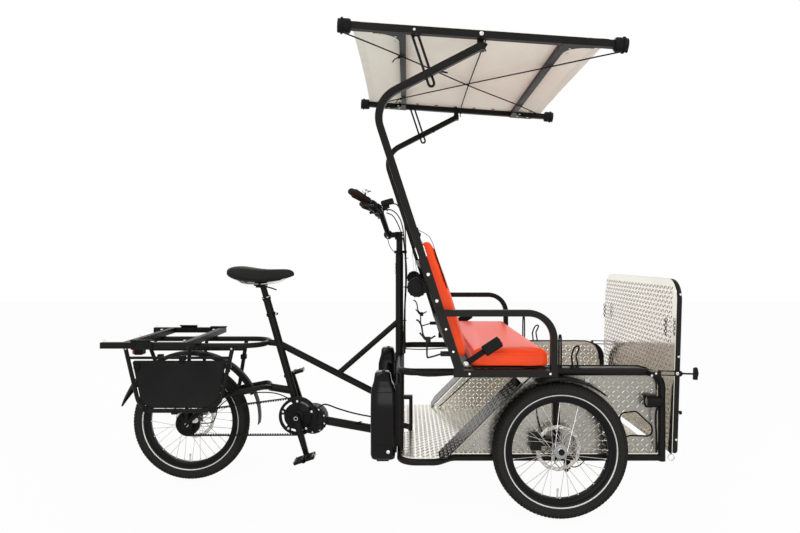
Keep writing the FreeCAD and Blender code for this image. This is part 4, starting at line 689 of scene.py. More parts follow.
def make_wheels(settings):
    """Deep rims, laced spokes with nipples, hubs and valves."""
    rim = [(-15.5, RIM_R), (-16, 205.5), (-16, 199), (-13.5, 191), (-8.5, 184.8), (8.5, 184.8), (13.5, 191),
        (16, 199), (16, 205.5), (15.5, RIM_R), (13.2, RIM_R), (12.6, 202.5), (-12.6, 202.5), (-13.2, RIM_R)]
    hubs = {"rear": [(-58, 0), (-58, 9), (-40, 10), (-38, 24), (-26, 24), (-24, 33), (-19, 33), (-17, 22),
        (0, 20), (17, 22), (19, 33), (24, 33), (26, 22), (46, 20), (46, 11), (58, 9), (58, 0)],
        "front": [(-26, 0), (-26, 12), (-23, 14), (-22.6, 26), (-19.4, 26), (-18, 18), (-8, 15.8),
        (8, 15.8), (18, 18), (19.4, 26), (22.6, 26), (23, 16), (25, 14), (25, 0)],}
    lean = math.radians(67.5)
    flange_holes = settings.spokes // 2
    nipple = Shape().turned([(-1, 3.2), (0, 3.2), (1.2, 2.4), (11, 1.9), (12, 0)], (0, 0, 0), (0, 0, 1), 8)
    for name, middle, body in WHEELS:
        front = name != "rear"
        away = -1 if name == "right_front" else 1
        piece(f"Rim {name}", Shape().ring(rim, middle, ACROSS, 144), "rim", body,
            (f"{name}_wheel",), smooth=30)
        hub = Shape().turned([(u * -away, r) for u, r in hubs["front" if front else "rear"]], middle,
            ACROSS, 40)
        piece(f"Hub {name}", hub, "hub" if front else "anodised", body, smooth=30)
        spokes, ends = Shape(), []
        for side in (-1, 1):
            for k in range(flange_holes):
                start = (k + 0.5 * (side > 0)) * 2 * math.pi / flange_holes
                end = start + lean * (-1) ** k
                low = wheel_spot(middle, start, 23.6 if front else 29.0, side * (21 + 1.8 * (-1) ** k))
                high = wheel_spot(middle, end, 186.5, side * 4)
                spokes.tube([low, high], 1.15, 6)
                ends.append((high, low - high))
        piece(f"Spokes {name}", spokes, "spoke", body)
        repeat(f"Nipples {name}", nipple, ends, "steel", body)
        angle = math.radians(-93)
        low = wheel_spot(middle, angle, 187, 0)
        run = wheel_spot(middle, angle, 148, 0) - low
        valve = Shape().turned([(0, 0), (0, 5.5), (3, 5.5), (3.5, 3.1), (26, 3.1), (26.5, 4.2), (37, 4.2),
            (38, 2.5), (38, 0)], low, run, 14)
        piece(f"Valve {name}", valve, "steel", body)
        if front:
            face = Vector(middle) + ACROSS * away * 25.5
            cap = Shape().turned([(0, 0), (0, 14), (1.6, 13.6), (2.2, 10.8), (1.2, 10), (1.2, 7),
                (2.4, 6.5), (2.4, 0)], face, ACROSS * away, 28)
            piece(f"Axle cap {name}", cap, "steel", body)


def make_rotors(settings):
    """Wavy brake rotors with slots and curved arms, and the bolts of their hubs."""
    lobes, spans, rows = 12, 288, 6
    reach = settings.rotor_width / MM / 2
    for name, middle, body in WHEELS:
        across = {"rear": 50.0, "right_front": 28.0, "left_front": -28.0}[name]
        track = Shape()
        points = []
        for i in range(rows + 1):
            for k in range(spans):
                angle = 2 * math.pi * k / spans
                wave = math.cos(lobes * angle)
                inner, outer = reach - 15.5 + 1.4 * wave, reach - 1.2 + 1.2 * wave
                points.append(wheel_spot(middle, angle, inner + (outer - inner) * i / rows, across - 0.9))
        faces = []
        for i in range(rows):
            for k in range(spans):
                phase = (k + 2 * i) % (spans // 24)
                if not (1 <= i <= 4 and phase in (0, 1)):
                    after = (k + 1) % spans
                    faces.append((i * spans + k, i * spans + after, (i + 1) * spans + after,
                        (i + 1) * spans + k))
        track.add(points, faces)
        disc = piece(f"Rotor track {name}", track, "rotor", body, (f"{name}_rotor",))
        thick = disc.modifiers.new("Thickness", "SOLIDIFY")
        thick.thickness, thick.offset = 1.8 * MM, 0
        arms = Shape()
        for k in range(6):
            start = 2 * math.pi * k / 6
            path = [wheel_spot(middle, start + turn, radius, across)
                for turn, radius in ((0, 20), (0.05, 34), (0.2, 50), (0.42, 64), (0.6, 76))]
            arms.tube(smooth_path(path, 4), 3.4, 8, flat=0.27)
            path = [wheel_spot(middle, start + turn, radius, across)
                for turn, radius in ((-0.1, 22), (-0.02, 40), (0.02, 58), (-0.12, 75))]
            arms.tube(smooth_path(path, 4), 2.6, 8, flat=0.34)
        arms.ring([(across - 1, 18), (across + 1, 18), (across + 1, 26), (across - 1, 26)], middle, ACROSS,
            48)
        piece(f"Rotor arms {name}", arms, "rotor", body)
        way = 1 if across > 0 else -1
        spots = [(wheel_spot(middle, 2 * math.pi * k / 6, 22, across + way), ACROSS * way)
            for k in range(6)]
        repeat(f"Rotor bolts {name}", bolt_item(3.6, 2.4, 1.6), spots, "steel", body)


# ---------------------------------------------------------------- tread plate

def skin(node):
    """A CAD node's surface, for finding where things land on it."""
    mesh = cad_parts[node].data
    return BVHTree.FromPolygons([v.co for v in mesh.vertices], [p.vertices for p in mesh.polygons])


def landing(tree, place, direction):
    """Distance in millimetres from a place to the surface along a direction, or None."""
    start = Vector((place[0] * MM + AXIS_X, place[1] * MM, place[2] * MM))
    hit = tree.ray_cast(start, Vector(direction), 0.03)
    return None if hit[0] is None else hit[3] / MM


def lozenges(name, node, origin, along, up, counts, settings, finish, body):
    """Raised lozenges in alternating directions over a flat face, wherever the whole lozenge fits on it."""
    along, up = Vector(along).normalized(), Vector(up).normalized()
    out = along.cross(up)
    tree = skin(node)
    pitch = settings.tread_pitch / MM
    length, width, height = settings.lozenge_length / MM / 2, settings.lozenge_width / MM / 2, 1.5
    item = Shape()
    loop = [(math.cos(a), math.sin(a)) for a in circle(8)]
    item.rings([[(length * c, width * s * (1.15 if abs(s) > 0.9 else 1), -0.4) for c, s in loop],
        [(length * c * 0.9, width * s * 0.75, height * 0.7) for c, s in loop],
        [(length * c * 0.6, width * s * 0.3, height) for c, s in loop]])
    spots = []
    for i in range(counts[0]):
        for j in range(counts[1]):
            place = Vector(origin) + along * pitch * i + up * pitch * j
            way = (along + up * (-1) ** (i + j)).normalized()
            corners = [place, place + way * length, place - way * length,
                place + way.cross(out) * width * 2.2, place - way.cross(out) * width * 2.2]
            depths = [landing(tree, corner + out * 8, -out) for corner in corners]
            if None in depths or max(depths) - min(depths) > 0.3:
                continue
            facing = Matrix((way, out.cross(way), out)).transposed().to_euler()
            spots.append((place + out * (8 - depths[0]), facing))
    base = [(spot, None, facing) for spot, facing in spots]
    return repeat(name, item, base, finish, body, smooth=60)


def make_tread(settings):
    """Raised pattern on the walls, floor, splash panels and gate."""
    pitch = settings.tread_pitch / MM
    across = int(840 / pitch)
    for name, side in SIDES:
        node = f"side_wall_{name}"
        for face, reach in (("outside", 391), ("inside", 388)):
            way = side if face == "outside" else -side
            start = (205, side * reach, 243) if way < 0 else (1015, side * reach, 243)
            lozenges(f"Tread {name} wall {face}", node, start, (-way, 0, 0), (0, 0, 1),
                # Painted light: the inside faces get the highlit lozenges, the outside faces the shaded
                # ones.
                (across, int(340 / pitch)), settings, "tread_low" if face == "outside" else "tread_high",
                "front_unit")
        run = Vector((1, 0, 1)).normalized()
        for face, way in (("upper", 1), ("under", -1)):
            start = Vector((161, 0, 233)) + run * 14 + ACROSS * (400 if side * way > 0 else 534) * side
            lozenges(f"Tread {name} splash panel {face}", "splash_panels", start, run, ACROSS * way,
                (int(410 / pitch), 8), settings, "splash_high", "front_unit")
    lozenges("Tread floor", "floor_plate", (20, -452, 233), (1, 0, 0), ACROSS,
        (int(1010 / pitch), int(912 / pitch)), settings, "deck_high", "front_unit")
    lean = Vector((math.sin(GATE_LEAN), 0, math.cos(GATE_LEAN)))
    for face, way in (("inside", -1), ("outside", 1)):
        edge = 446 if way < 0 else 424
        start = Vector((1057 + way, edge * -way, 702 - edge))
        lozenges(f"Tread gate {face}", "gate_plate", start, ACROSS * way, lean,
            (int(2 * edge / pitch), int((edge + 215) / pitch)), settings, "gate_high",
            "gate")


# ---------------------------------------------------------------- bench

def soft_block(x, y, z, radius, steps, crown, fall):
    """Block with rounded edges whose last face rises by crown in its middle and less at its ends."""
    spans = (x, y, z)
    middle = [(low + high) / 2 for low, high in spans]
    half = [(high - low) / 2 for low, high in spans]
    shape = Shape()
    for axis in range(3):
        a, b = (axis + 1) % 3, (axis + 2) % 3
        for way in (-1, 1):
            points = []
            for i in range(steps[a] + 1):
                for j in range(steps[b] + 1):
                    p = [0.0, 0.0, 0.0]
                    p[axis] = way * half[axis]
                    p[a] = (2 * i / steps[a] - 1) * half[a]
                    p[b] = (2 * j / steps[b] - 1) * half[b]
                    core = Vector([max(radius - h, min(h - radius, c)) for c, h in zip(p, half)])
                    off = Vector(p) - core
                    p = core + off.normalized() * radius if off.length > 1e-6 else Vector(p)
                    share = (1 - (p[0] / half[0]) ** 2) * (1 - fall * (p[1] / half[1]) ** 4)
                    p[2] += crown * max(0, share) * (p[2] > 0)
                    points.append(p + Vector(middle))
            row = steps[b] + 1
            shape.add(points, [(i * row + j, i * row + j + 1, (i + 1) * row + j + 1, (i + 1) * row + j)
                for i in range(steps[a]) for j in range(steps[b])])
    return shape


def swell(obj, voxel, cap, held):
    """Blow the padding up under its cover, which stays put where held says that it is stapled."""
    depsgraph = bpy.context.evaluated_depsgraph_get
    cover = obj.modifiers.new("Cover", "REMESH")
    cover.mode, cover.voxel_size = "VOXEL", voxel * MM
    mesh = bpy.data.meshes.new_from_object(obj.evaluated_get(depsgraph()))
    obj.modifiers.clear()
    obj.data = mesh
    start = [v.co.copy() for v in mesh.vertices]
    group = obj.vertex_groups.new(name="Stapled")
    group.add([i for i, p in enumerate(start) if held(p)], 1.0, "REPLACE")
    cloth = obj.modifiers.new("Cloth", "CLOTH")
    settings = cloth.settings
    settings.quality, settings.mass = 5, 0.25
    settings.tension_stiffness = settings.compression_stiffness = 12
    settings.shear_stiffness, settings.bending_stiffness = 4, 0.3
    settings.use_pressure, settings.uniform_pressure_force = True, 4
    settings.vertex_group_mass = group.name
    settings.effector_weights.gravity = 0
    cloth.collision_settings.use_collision = False
    cloth.point_cache.frame_start, cloth.point_cache.frame_end = 1, 20
    for step in range(1, 21):
        bpy.context.scene.frame_set(step)
    blown = bpy.data.meshes.new_from_object(obj.evaluated_get(depsgraph()))
    obj.modifiers.clear()
    obj.vertex_groups.clear()
    for vertex, from_place in zip(blown.vertices, start):
        move = vertex.co - from_place
        if move.length > cap * MM:
            vertex.co = from_place + move.normalized() * cap * MM
    obj.data = blown
    blown.shade_smooth()
    bpy.context.scene.frame_set(1)


def make_cushions(settings):
    """Padded seat and back in one colour of vinyl."""
    back = (232.3, 270.3), (623.5, 1081.0)
    pads = (
        # name, x, z, crown of the last face, how far it falls to the ends, CAD node
        ("Seat cushion", (272, 564), (597, 657), 5.0, 1.0, "seat_cushion"),
        ("Back cushion", back[1], back[0], 11.0, 0.3, "back_cushion"),
    )
    for name, x, z, crown, fall, node in pads:
        shape = soft_block(x, (-551, 551), z, 15.0, (36, 96, 8), crown, fall)
        if node == "back_cushion":
            shape.move(LEANED @ Matrix(((0, 0, 1, 0), (0, 1, 0, 0), (1, 0, 0, 0), (0, 0, 0, 1))))
        obj = piece(name, shape, "vinyl", "front_unit", (node,), smooth=180)
        if node == "seat_cushion":
            low = 601.0 * MM
            swell(obj, settings.cushion_voxel / MM, 7.0, lambda p: p.z < low)
        else:
            edge = LEANED.inverted()
            swell(obj, settings.cushion_voxel / MM, 7.0,
                lambda p: (edge @ Vector(((p.x - AXIS_X) / MM, p.y / MM, p.z / MM))).x < 236.0)
        smoother = obj.modifiers.new("Cover", "SUBSURF")
        smoother.levels = smoother.render_levels = 1
    seams = Shape()
    for end in (-1, 1):
        y = end * 552
        seams.tube([(274, y, 646), (420, y, 649), (562, y, 646)], 1.6, 6)
    piece("Seat seams", seams, "vinyl", "front_unit")


def back_point(z, ahead, y):
    """Place at a height on the back posts' centre line, moved ahead across it."""
    x = BENCH_FOOT[0] - RECLINE * (z - BENCH_FOOT[1])
    length = math.hypot(1, RECLINE)
    return Vector((x + ahead / length, y, z + ahead * RECLINE / length))


def make_bench(settings):
    """Bolts, belts, reels, wire holders, end plugs and the back's fixings."""
    bolts, anchors, caps = [], [], Shape()
    for name, side in SIDES:
        out = ACROSS * side
        bolts += [(Vector((110.8, side * 626.2, 942)), out, 0.3),
            (Vector((141.7, side * 626.2, 846.7)), out, 0.8)]
        for z in (660, 742, 1005):
            bolts.append((back_point(z, 0, side * 600.2), out, 0.2, (0.7, 0.7, 0.7)))
        for x in (262, 556):
            bolts.append((Vector((x, side * 600.6, 579.5)), out, 0.5, (0.7, 0.7, 0.7)))
        anchors.append((Vector((250, side * 580.5, 612)), out, 0.1))
        caps.block((560, 582), mirrored(side, 577, 599), (591, 593.5))
        reel = (71.0, side * 545.0, 893.0)
        ribs = Shape().turned([(0, 0), (0, 33), (4, 36), (22, 36), (26, 33), (27, 20), (28.5, 18),
            (28.5, 0)], reel, out, 36)
        piece(f"Belt reel {name}", ribs, "plastic", "front_unit", ("seat_belts",), bevel=0.8)
        grip = Shape()
        for k in range(14):
            angle = 2 * math.pi * k / 14
            place = Vector(reel) + Vector((35 * math.cos(angle), 0, 35 * math.sin(angle)))
            grip.tube([place + out * 3, place + out * 24], 3.4, 6)
        grip.block((66, 118), mirrored(side, 556, 571), (879, 907))
        grip.block((92, 112), mirrored(side, 540, 572), (872, 914))
        piece(f"Belt reel ribs {name}", grip, "plastic", "front_unit", bevel=0.6)
        guide = Shape().tube(smooth_path([(84, side * 546, 1085), (76, side * 546, 1100),
            (73, side * 532, 1112), (73, side * 500, 1112), (76, side * 486, 1100), (84, side * 486, 1085)],
            4), 3.6, 8)
        guide.block((60, 86), mirrored(side, 490, 542), (1082, 1094))
        piece(f"Belt guide {name}", guide, "plastic", "front_unit", bevel=1)
        strap = Shape()
        path = smooth_path([(74, side * 540, 918), (66, side * 530, 990), (62, side * 520, 1070),
            (72, side * 516, 1104), (94, side * 516, 1098), (116, side * 516, 1084),
            (127, side * 516, 1066), (133, side * 516, 1052), (149, side * 520, 1000),
            (162, side * 526, 960), (170, side * 530, 935)], 5)
        lay_strap(strap, path, 23, 1.3)
        piece(f"Belt webbing {name}", strap, "webbing", "front_unit")
        tongue = Shape().plate([(167, side * 512, 942), (167, side * 541, 942), (177, side * 541, 908),
            (184, side * 534, 888), (184, side * 521, 888), (177, side * 512, 908)], (2.5, 0, 1.2))
        piece(f"Belt tongue {name}", tongue, "anodised", "front_unit", bevel=0.8)
        stalk = Shape()
        lay_strap(stalk, smooth_path([(250, side * 571, 613), (284, side * 570, 634),
            (318, side * 568, 657)], 4), 22, 2, upright=True)
        piece(f"Buckle stalk {name}", stalk, "webbing", "front_unit")
        turn = Matrix.Translation((330, side * 566, 664)) @ Matrix.Rotation(math.radians(-33), 4, "Y")
        buckle = Shape().block((-14, 58), (-11, 8), (-21, 21)).move(turn)
        piece(f"Buckle {name}", buckle, "plastic", "front_unit", bevel=5, segments=3)
        button = Shape().block((48, 61), (-6, 4), (-12, 12)).move(turn)
        piece(f"Buckle button {name}", button, "red", "front_unit", bevel=1)
        holder = Shape()
        for y, path in ((562, ((68, 772), (76, 770), (87.5, 752), (94, 717), (107, 698), (108, 660),
                (109, 638), (116, 634), (161.5, 647))), (547,
                ((81, 723.5), (92, 712), (103, 698), (122, 702), (140, 712)))):
            holder.tube(smooth_path([(x, side * y, z) for x, z in path], 3), 3.3, 8)
        holder.block((104, 122), mirrored(side, 540, 566), (688, 708))
        holder.block((158, 214), mirrored(side, 553, 577), (640, 656))
        piece(f"Wire holder {name}", holder, "dark_steel", "front_unit", bevel=0.8)
        straps = Shape().plate([back_point(z, ahead, side * 601)
            for z, ahead in ((1042, -17), (1042, 17), (1003, 17), (1003, -17))], out * 1.6)
        piece(f"Joint plate {name}", straps, "steel", "front_unit", bevel=0.6)
    piece("End plugs", caps, "plastic", "front_unit", bevel=1)
    bolt_row("Bench bolts", (7.2, 4.2, 3.0), bolts, "front_unit")
    repeat("Belt anchor bolts", washer_bolt_item(10.5), anchors, "steel", "front_unit")


def lay_strap(shape, path, width, thick, upright=False):
    """Flat strap along a path, its width across the vehicle or, when upright, up and down."""
    rings = []
    for i, here in enumerate(path):
        along = (path[min(i + 1, len(path) - 1)] - path[max(i - 1, 0)]).normalized()
        side = Vector((0, 0, 1)).cross(along).cross(along).normalized() * -1 if upright else ACROSS
        out = along.cross(side).normalized()
        rings.append([here + side * width * u + out * thick * v
            for u, v in ((-0.5, -0.3), (-0.46, -0.5), (0.46, -0.5), (0.5, -0.3), (0.5, 0.3), (0.46, 0.5),
            (-0.46, 0.5), (-0.5, 0.3))])
    shape.rings(rings)


# ---------------------------------------------------------------- canopy

COVER_X, COVER_Y, COVER_Z = (-172.0, 762.0), 623.0, 1821.2


def cover_point(u, v, lift=0.0):
    """Place on the canopy's cloth: u from rear to front, v from right to left, both 0 to 1."""
    y = (2 * v - 1) * COVER_Y
    free = max(0.0, 1 - (y / 600) ** 2)
    inset = 9 * free ** 0.8
    x = COVER_X[0] + inset + u * (COVER_X[1] - COVER_X[0] - 2 * inset)
    between = math.sin(math.pi * max(0.0, min(1.0, (x - 30) / 568))) ** 2
    ends = max(0.0, (5 - x) / 177) + max(0.0, (x - 625) / 137)
    sag = free * (1.4 + 12 * between + 5 * ends)
    pull = math.sin(9.5 * math.pi * u + 5 * v) * math.sin(7 * math.pi * v + 2 * u)
    wrinkle = 0.9 * free * pull * (1 - 0.4 * between)
    return TILTED @ Vector((x, y, COVER_Z - sag + wrinkle + lift))


def make_canopy(settings):
    """Canvas with hems and eyelets over the tilting frame, and its rails' fittings."""
    across, along = 96, 72
    cloth = Shape()
    cloth.add([cover_point(i / along, j / across) for i in range(along + 1) for j in range(across + 1)],
        [(i * (across + 1) + j, i * (across + 1) + j + 1, (i + 1) * (across + 1) + j + 1,
        (i + 1) * (across + 1) + j) for i in range(along) for j in range(across)])
    cover = piece("Canopy cloth", cloth, "canvas", "canopy", ("canopy_cover",), smooth=180)
    thick = cover.modifiers.new("Thickness", "SOLIDIFY")
    thick.thickness, thick.offset = 1.2 * MM, 0
    hems = Shape()
    for start, end in ((-0.001, 0.034), (0.966, 1.001)):
        rows = [[cover_point(u, j / across, 1.3 * way) for j in range(across + 1)]
            for u, way in ((start, 1), (end, 1), (end, -1), (start, -1))]
        hems.rings([[row[j] for row in rows] for j in range(across + 1)])
    for start, end in ((0.0, 0.030), (0.970, 1.0)):
        rows = [[cover_point(i / along, v, 1.3 * way) for i in range(along + 1)]
            for v, way in ((start, 1), (end, 1), (end, -1), (start, -1))]
        hems.rings([[row[i] for row in rows] for i in range(along + 1)])
    hem = piece("Canopy hems", hems, "hem", "canopy", smooth=60)
    eyelets, spots = Shape().ring([(-1.6, 4.5), (-1.6, 9), (-0.6, 9.6), (1.6, 9), (1.6, 4.5)], (0, 0, 0),
        (0, 0, 1), 20), []
    for name, side in SIDES:
        for k in range(9):
            spots.append((cover_point(0.06 + 0.11 * k, 0.5 + side * 0.462, -1.8), (0, 0, 1)))
    repeat("Canopy eyelets", eyelets, spots, "brass", "canopy")

    slots, holes, screws = Shape(), [], []
    for name, side in SIDES:
        for end, way in ((-187 - 30, -1), (802 + 30, 1)):
            face = TILTED @ Vector((end, side * RAIL_Y, RAIL_Z))
            cap = Shape().turned([(-47, 18), (-46, 23), (-41, 26.5), (-10, 26.5), (-3, 24), (0, 19),
                (0.6, 12), (0.6, 0)], face, (TILTED.to_3x3() @ Vector((way, 0, 0))), 36)
            piece(f"End knob {name} {'rear' if way < 0 else 'front'}", cap, "plastic", "canopy",
                bevel=0.8)
            slots.join(Shape().block((end - 1.3 * (way < 0), end + 1.3 * (way > 0)),
                (side * RAIL_Y - 12, side * RAIL_Y + 12), (1805, 1809)).move(TILTED))
        for x in (-120, -20, 12, 28, 120, 220, 420, 520, 598, 614, 680, 770):
            holes.append((TILTED @ Vector((x, side * 626.2, RAIL_Z)), ACROSS * side))
        screws.append((TILTED @ Vector((60, side * 626.2, RAIL_Z)), ACROSS * side, 0.4, (0.8, 0.8, 0.8)))
        screws.append((Vector((TILT_BOLT[0], side * 631, RAIL_Z)), ACROSS * side, 0.2, (1.3, 1.3, 1.3)))
    piece("Knob slots", slots, "dark_steel", "canopy")
    dimple = Shape().turned([(-0.3, 0), (-0.3, 4.4), (0.35, 4.4), (0.35, 0)], (0, 0, 0), (0, 0, 1), 16)
    repeat("Rail holes", dimple, holes, "hose", "canopy")
    bolt_row("Rail bolts", (6.6, 3.8, 2.6), screws, "canopy")

    plates = []
    for x, way in ((17, -1), (610, 1)):
        for side in (-1, 1):
            for along_x, in_y in ((12, 22), (70, 6), (16, 72)):
                place = TILTED @ Vector((x + way * (12 + along_x), side * (600 - in_y), 1792))
                plates.append((place, TILTED.to_3x3() @ Vector((0, 0, -1)), 0, (0.75, 0.75, 0.75)))
    bolt_row("Gusset bolts", (6.6, 3.6, 2.6), plates, "canopy")

    lines = Shape()
    for rear in (-1, 1):
        path = [TILTED @ Vector(p) for p in ((-213, rear * RAIL_Y, 1780), (-196, rear * 596, 1787),
            (17, rear * 345, 1791), (316, 0, 1789 + 4 * rear), (610, -rear * 345, 1791),
            (813, -rear * 596, 1787), (830, -rear * RAIL_Y, 1780))]
        lines.tube(smooth_path(path, 5), 2.7, 8)
        for end in (-203, 818):
            lines.ring([(-3, 25.8), (3, 25.8), (3, 30), (-3, 30)],
                TILTED @ Vector((end, rear * RAIL_Y, RAIL_Z)), TILTED.to_3x3() @ Vector((1, 0, 0)), 28)
    lines.tube(smooth_path([TILTED @ Vector((x, y, z))
        for x, y, z in ((322, -600, 1796), (318, -300, 1793), (316, 0, 1789), (318, 300, 1793),
        (322, 600, 1796))], 4), 2.7, 8)
    piece("Canopy rigging", lines, "webbing", "canopy")
    tails = Shape()
    for side in (-1, 1):
        for path in (((20, side * 345, 1790), (2, side * 348, 1786), (-14, side * 350, 1776),
                (-22, side * 350, 1764)), ((320, side * 580, 1794), (326, side * 574, 1786),
                (324, side * 570, 1774), (328, side * 568, 1764))):
            tails.tube(smooth_path([TILTED @ Vector(p) for p in path], 5), 2.3, 6)
            tails.turned([(-6, 0), (-5, 4.2), (0, 5.2), (5, 4.2), (6, 0)], TILTED @ Vector(path[1]),
                (0.6, 0, 1), 12)
    piece("Rigging tails", tails, "webbing", "canopy")

    for name, side in SIDES:
        clamp = Vector((112, side * 587, 1669.2))
        lever = Shape().turned([(0, 0), (0, 9), (9, 9), (11, 6), (11, 0)], clamp, ACROSS * -side, 24)
        lever.tube(smooth_path([clamp + Vector((0, -side * 7, 0)), clamp + Vector((16, -side * 12, 12)),
            clamp + Vector((44, -side * 12, 17)), clamp + Vector((72, -side * 10, 12))], 4),
            [7, 7, 7, 6.5, 6, 6, 6, 6, 6, 6, 6, 5.5, 5], 8, flat=0.6)
        piece(f"Clamp lever {name}", lever, "plastic", "front_unit")


# ---------------------------------------------------------------- handlebar

BAR_BEND, BAR_END = (-88.0, 150.0, 1218.0), (-193.0, 322.0, 1272.0)


def along_bar(side, share):
    """Place on the bar's outer run: share 0 at its bend, 1 at its end."""
    a = Vector((BAR_BEND[0], side * BAR_BEND[1], BAR_BEND[2]))
    b = Vector((BAR_END[0], side * BAR_END[1], BAR_END[2]))
    return a + (b - a) * share


def make_controls(settings):
    """Grips, brake levers, bell, display, stem bolts and the cables that run down the post."""
    for name, side in SIDES:
        end, run = along_bar(side, 1), (along_bar(side, 1) - along_bar(side, 0)).normalized()
        count = 22
        path = [end + run * (6 - 118 * (1 - k / (count - 1))) for k in range(count)]
        radii = [15.5 + 3.6 * math.sin(math.pi * max(0, k / (count - 1) - 0.25) / 0.75) ** 2
            for k in range(count)]
        radii[-2:] = [15.0, 10.5]
        path.append(end + run * 7.5)
        radii.append(2.0)
        hold = Shape().tube(path, radii, 20, flat=0.86)
        piece(f"Grip {name}", hold, "grip", "front_unit", ("grips",), smooth=50)
        ribs = Shape()
        for k in range(9):
            spot = end + run * (-100 + 9 * k)
            ribs.ring([(-0.9, 14.6), (-0.5, 17.0 + 0.3 * k), (0.5, 17.0 + 0.3 * k), (0.9, 14.6)], spot, run,
                28)
        piece(f"Grip ribs {name}", ribs, "grip", "front_unit")
        collar = Shape().turned([(-9, 11.4), (-9, 16.8), (-7.5, 17.6), (3, 17.6), (4, 16.8), (4, 11.4)],
            end - run * 118, run, 28)
        piece(f"Grip clamp {name}", collar, "anodised", "front_unit", bevel=0.5)

        here = along_bar(side, 0.22)
        lever = Shape().turned([(-9, 11.3), (-9, 17), (9, 17), (9, 11.3)], here, run, 26)
        down = Vector((0.45, 0, -0.9)).normalized()
        lever.tube([here + down * 12, here + down * 26], 8, 10)
        body = here + down * 27
        piece(f"Lever clamp {name}", lever, "anodised", "front_unit", ("bar_controls",),
            bevel=0.6)
        tank = Shape().tube(smooth_path([body - run * 30 + down * 2, body - run * 8, body + run * 16,
            body + run * 36], 4), [8, 11, 12.5, 13.5, 14, 14, 14, 14, 14, 13.6, 13, 11.5, 8], 16, flat=0.85)
        tank.turned([(0, 0), (0, 11), (5, 11), (7, 8), (7, 0)], body + run * 6 + down * 10, down, 20)
        piece(f"Lever body {name}", tank, "anodised", "front_unit")
        forward = Vector((1, 0, 0))
        blade = Shape()
        path = smooth_path([body + run * 18 + forward * 2, body + run * 36 + forward * 14,
            body + run * 62 + forward * 22 + down * 3, body + run * 92 + forward * 17 + down * 9,
            body + run * 118 + forward * 8 + down * 12], 6)
        blade.tube(path, [7.5 - 1.8 * math.sin(math.pi * k / (len(path) - 1)) for k in range(len(path))],
            10, flat=0.7)
        blade.turned([(-8, 0), (-6, 5), (0, 8.4), (6, 6.4), (8.2, 0)], path[-1], path[-1] - path[-3], 16)
        piece(f"Brake lever {name}", blade, "anodised", "front_unit")
        pivots = [(body + run * 20 + Vector((0, 0, 13)), (0, 0, 1)), (here + forward * 15, forward)]
        bolt_row(f"Lever bolts {name}", (3.8, 3, 1.8), pivots, "front_unit")

    seat = along_bar(-1, 0.5)
    bell = Shape().turned([(15.5, 0), (15, 6), (12, 11), (7, 14.2), (1.5, 15.4), (0, 15.4), (0, 14),
        (12, 8), (14, 0)], seat + Vector((0, 0, 29)), (0.1, -0.1, 1), 32)
    piece("Bell dome", bell, "steel", "front_unit")
    run = (along_bar(-1, 1) - along_bar(-1, 0)).normalized()
    mount = Shape().turned([(-5, 11.3), (-5, 14.4), (5, 14.4), (5, 11.3)], seat, run, 22)
    mount.tube([seat + Vector((0, 0, 13)), seat + Vector((0, 0, 31))], 3.6, 10)
    mount.tube(smooth_path([seat + Vector((8, -4, 31)), seat + Vector((19, -9, 35)),
        seat + Vector((24, -12, 33))], 3), 2.2, 6)
    piece("Bell mount", mount, "plastic", "front_unit")

    turn = Matrix.Translation((-50, -141, 1240)) @ Matrix.Rotation(math.radians(-16), 4, "Y")
    case = Shape().block((-28, 28), (-23, 23), (-11, 13)).move(turn)
    piece("Display case", case, "plastic", "front_unit", bevel=6, segments=3)
    screen = Shape().block((-21, 21), (-17, 17), (12.4, 13.7)).move(turn)
    piece("Display screen", screen, "screen", "front_unit", bevel=0.6)
    arm = Shape().block((-24, 4), (-12, 12), (-24, -9)).move(turn)
    arm.turned([(-10, 11.3), (-10, 15.5), (10, 15.5), (10, 11.3)], along_bar(-1, 0.03), run, 24)
    arm.block((-92, -66), (-128, -112), (1183, 1207))
    piece("Display clamp", arm, "plastic", "front_unit", bevel=1.5)
    lamp = Shape().turned([(0, 0), (0, 4.6), (5, 4.2), (6.5, 0)], (-52, -118, 1210), (0.4, -1, -0.2), 18)
    piece("Button light", lamp, "red", "front_unit")
    keys = Shape().block((-30, -8), (-5, 9), (-29, -12)).move(turn)
    piece("Display keys", keys, "plastic", "front_unit", bevel=2)

    spots = [(Vector((-53, side * 27.2, 1094 + 11 * k)), ACROSS * side) for side in (-1, 1) for k in (0, 1)]
    spots += [(Vector((17, side * 24.5, z)), ACROSS * side, 0.3, (1.1, 1.1, 1.1)) for side in (-1, 1)
        for z in (1096, 1110)]
    spots += [(Vector((0, 0, 1126)), (0, 0, 1), 0, (1.6, 1.6, 1.2))]
    bolt_row("Stem bolts", (4.4, 3.2, 2.2), spots, "front_unit")
    collar = Shape().ring([(-6.5, 14.3), (-6.5, 23), (-5, 24.5), (5, 24.5), (6.5, 23), (6.5, 14.3)],
        (0, 0, 1028), (0, 0, 1), 40)
    collar.block((18, 34), (-9, 9), (1022, 1034))
    piece("Post collar", collar, "anodised", "front_unit", bevel=1)
    clip = Shape().block((-22.5, -17.0), (-7, 7), (928, 976))
    piece("Post clip", clip, "steel", "rear_frame", bevel=1.5)

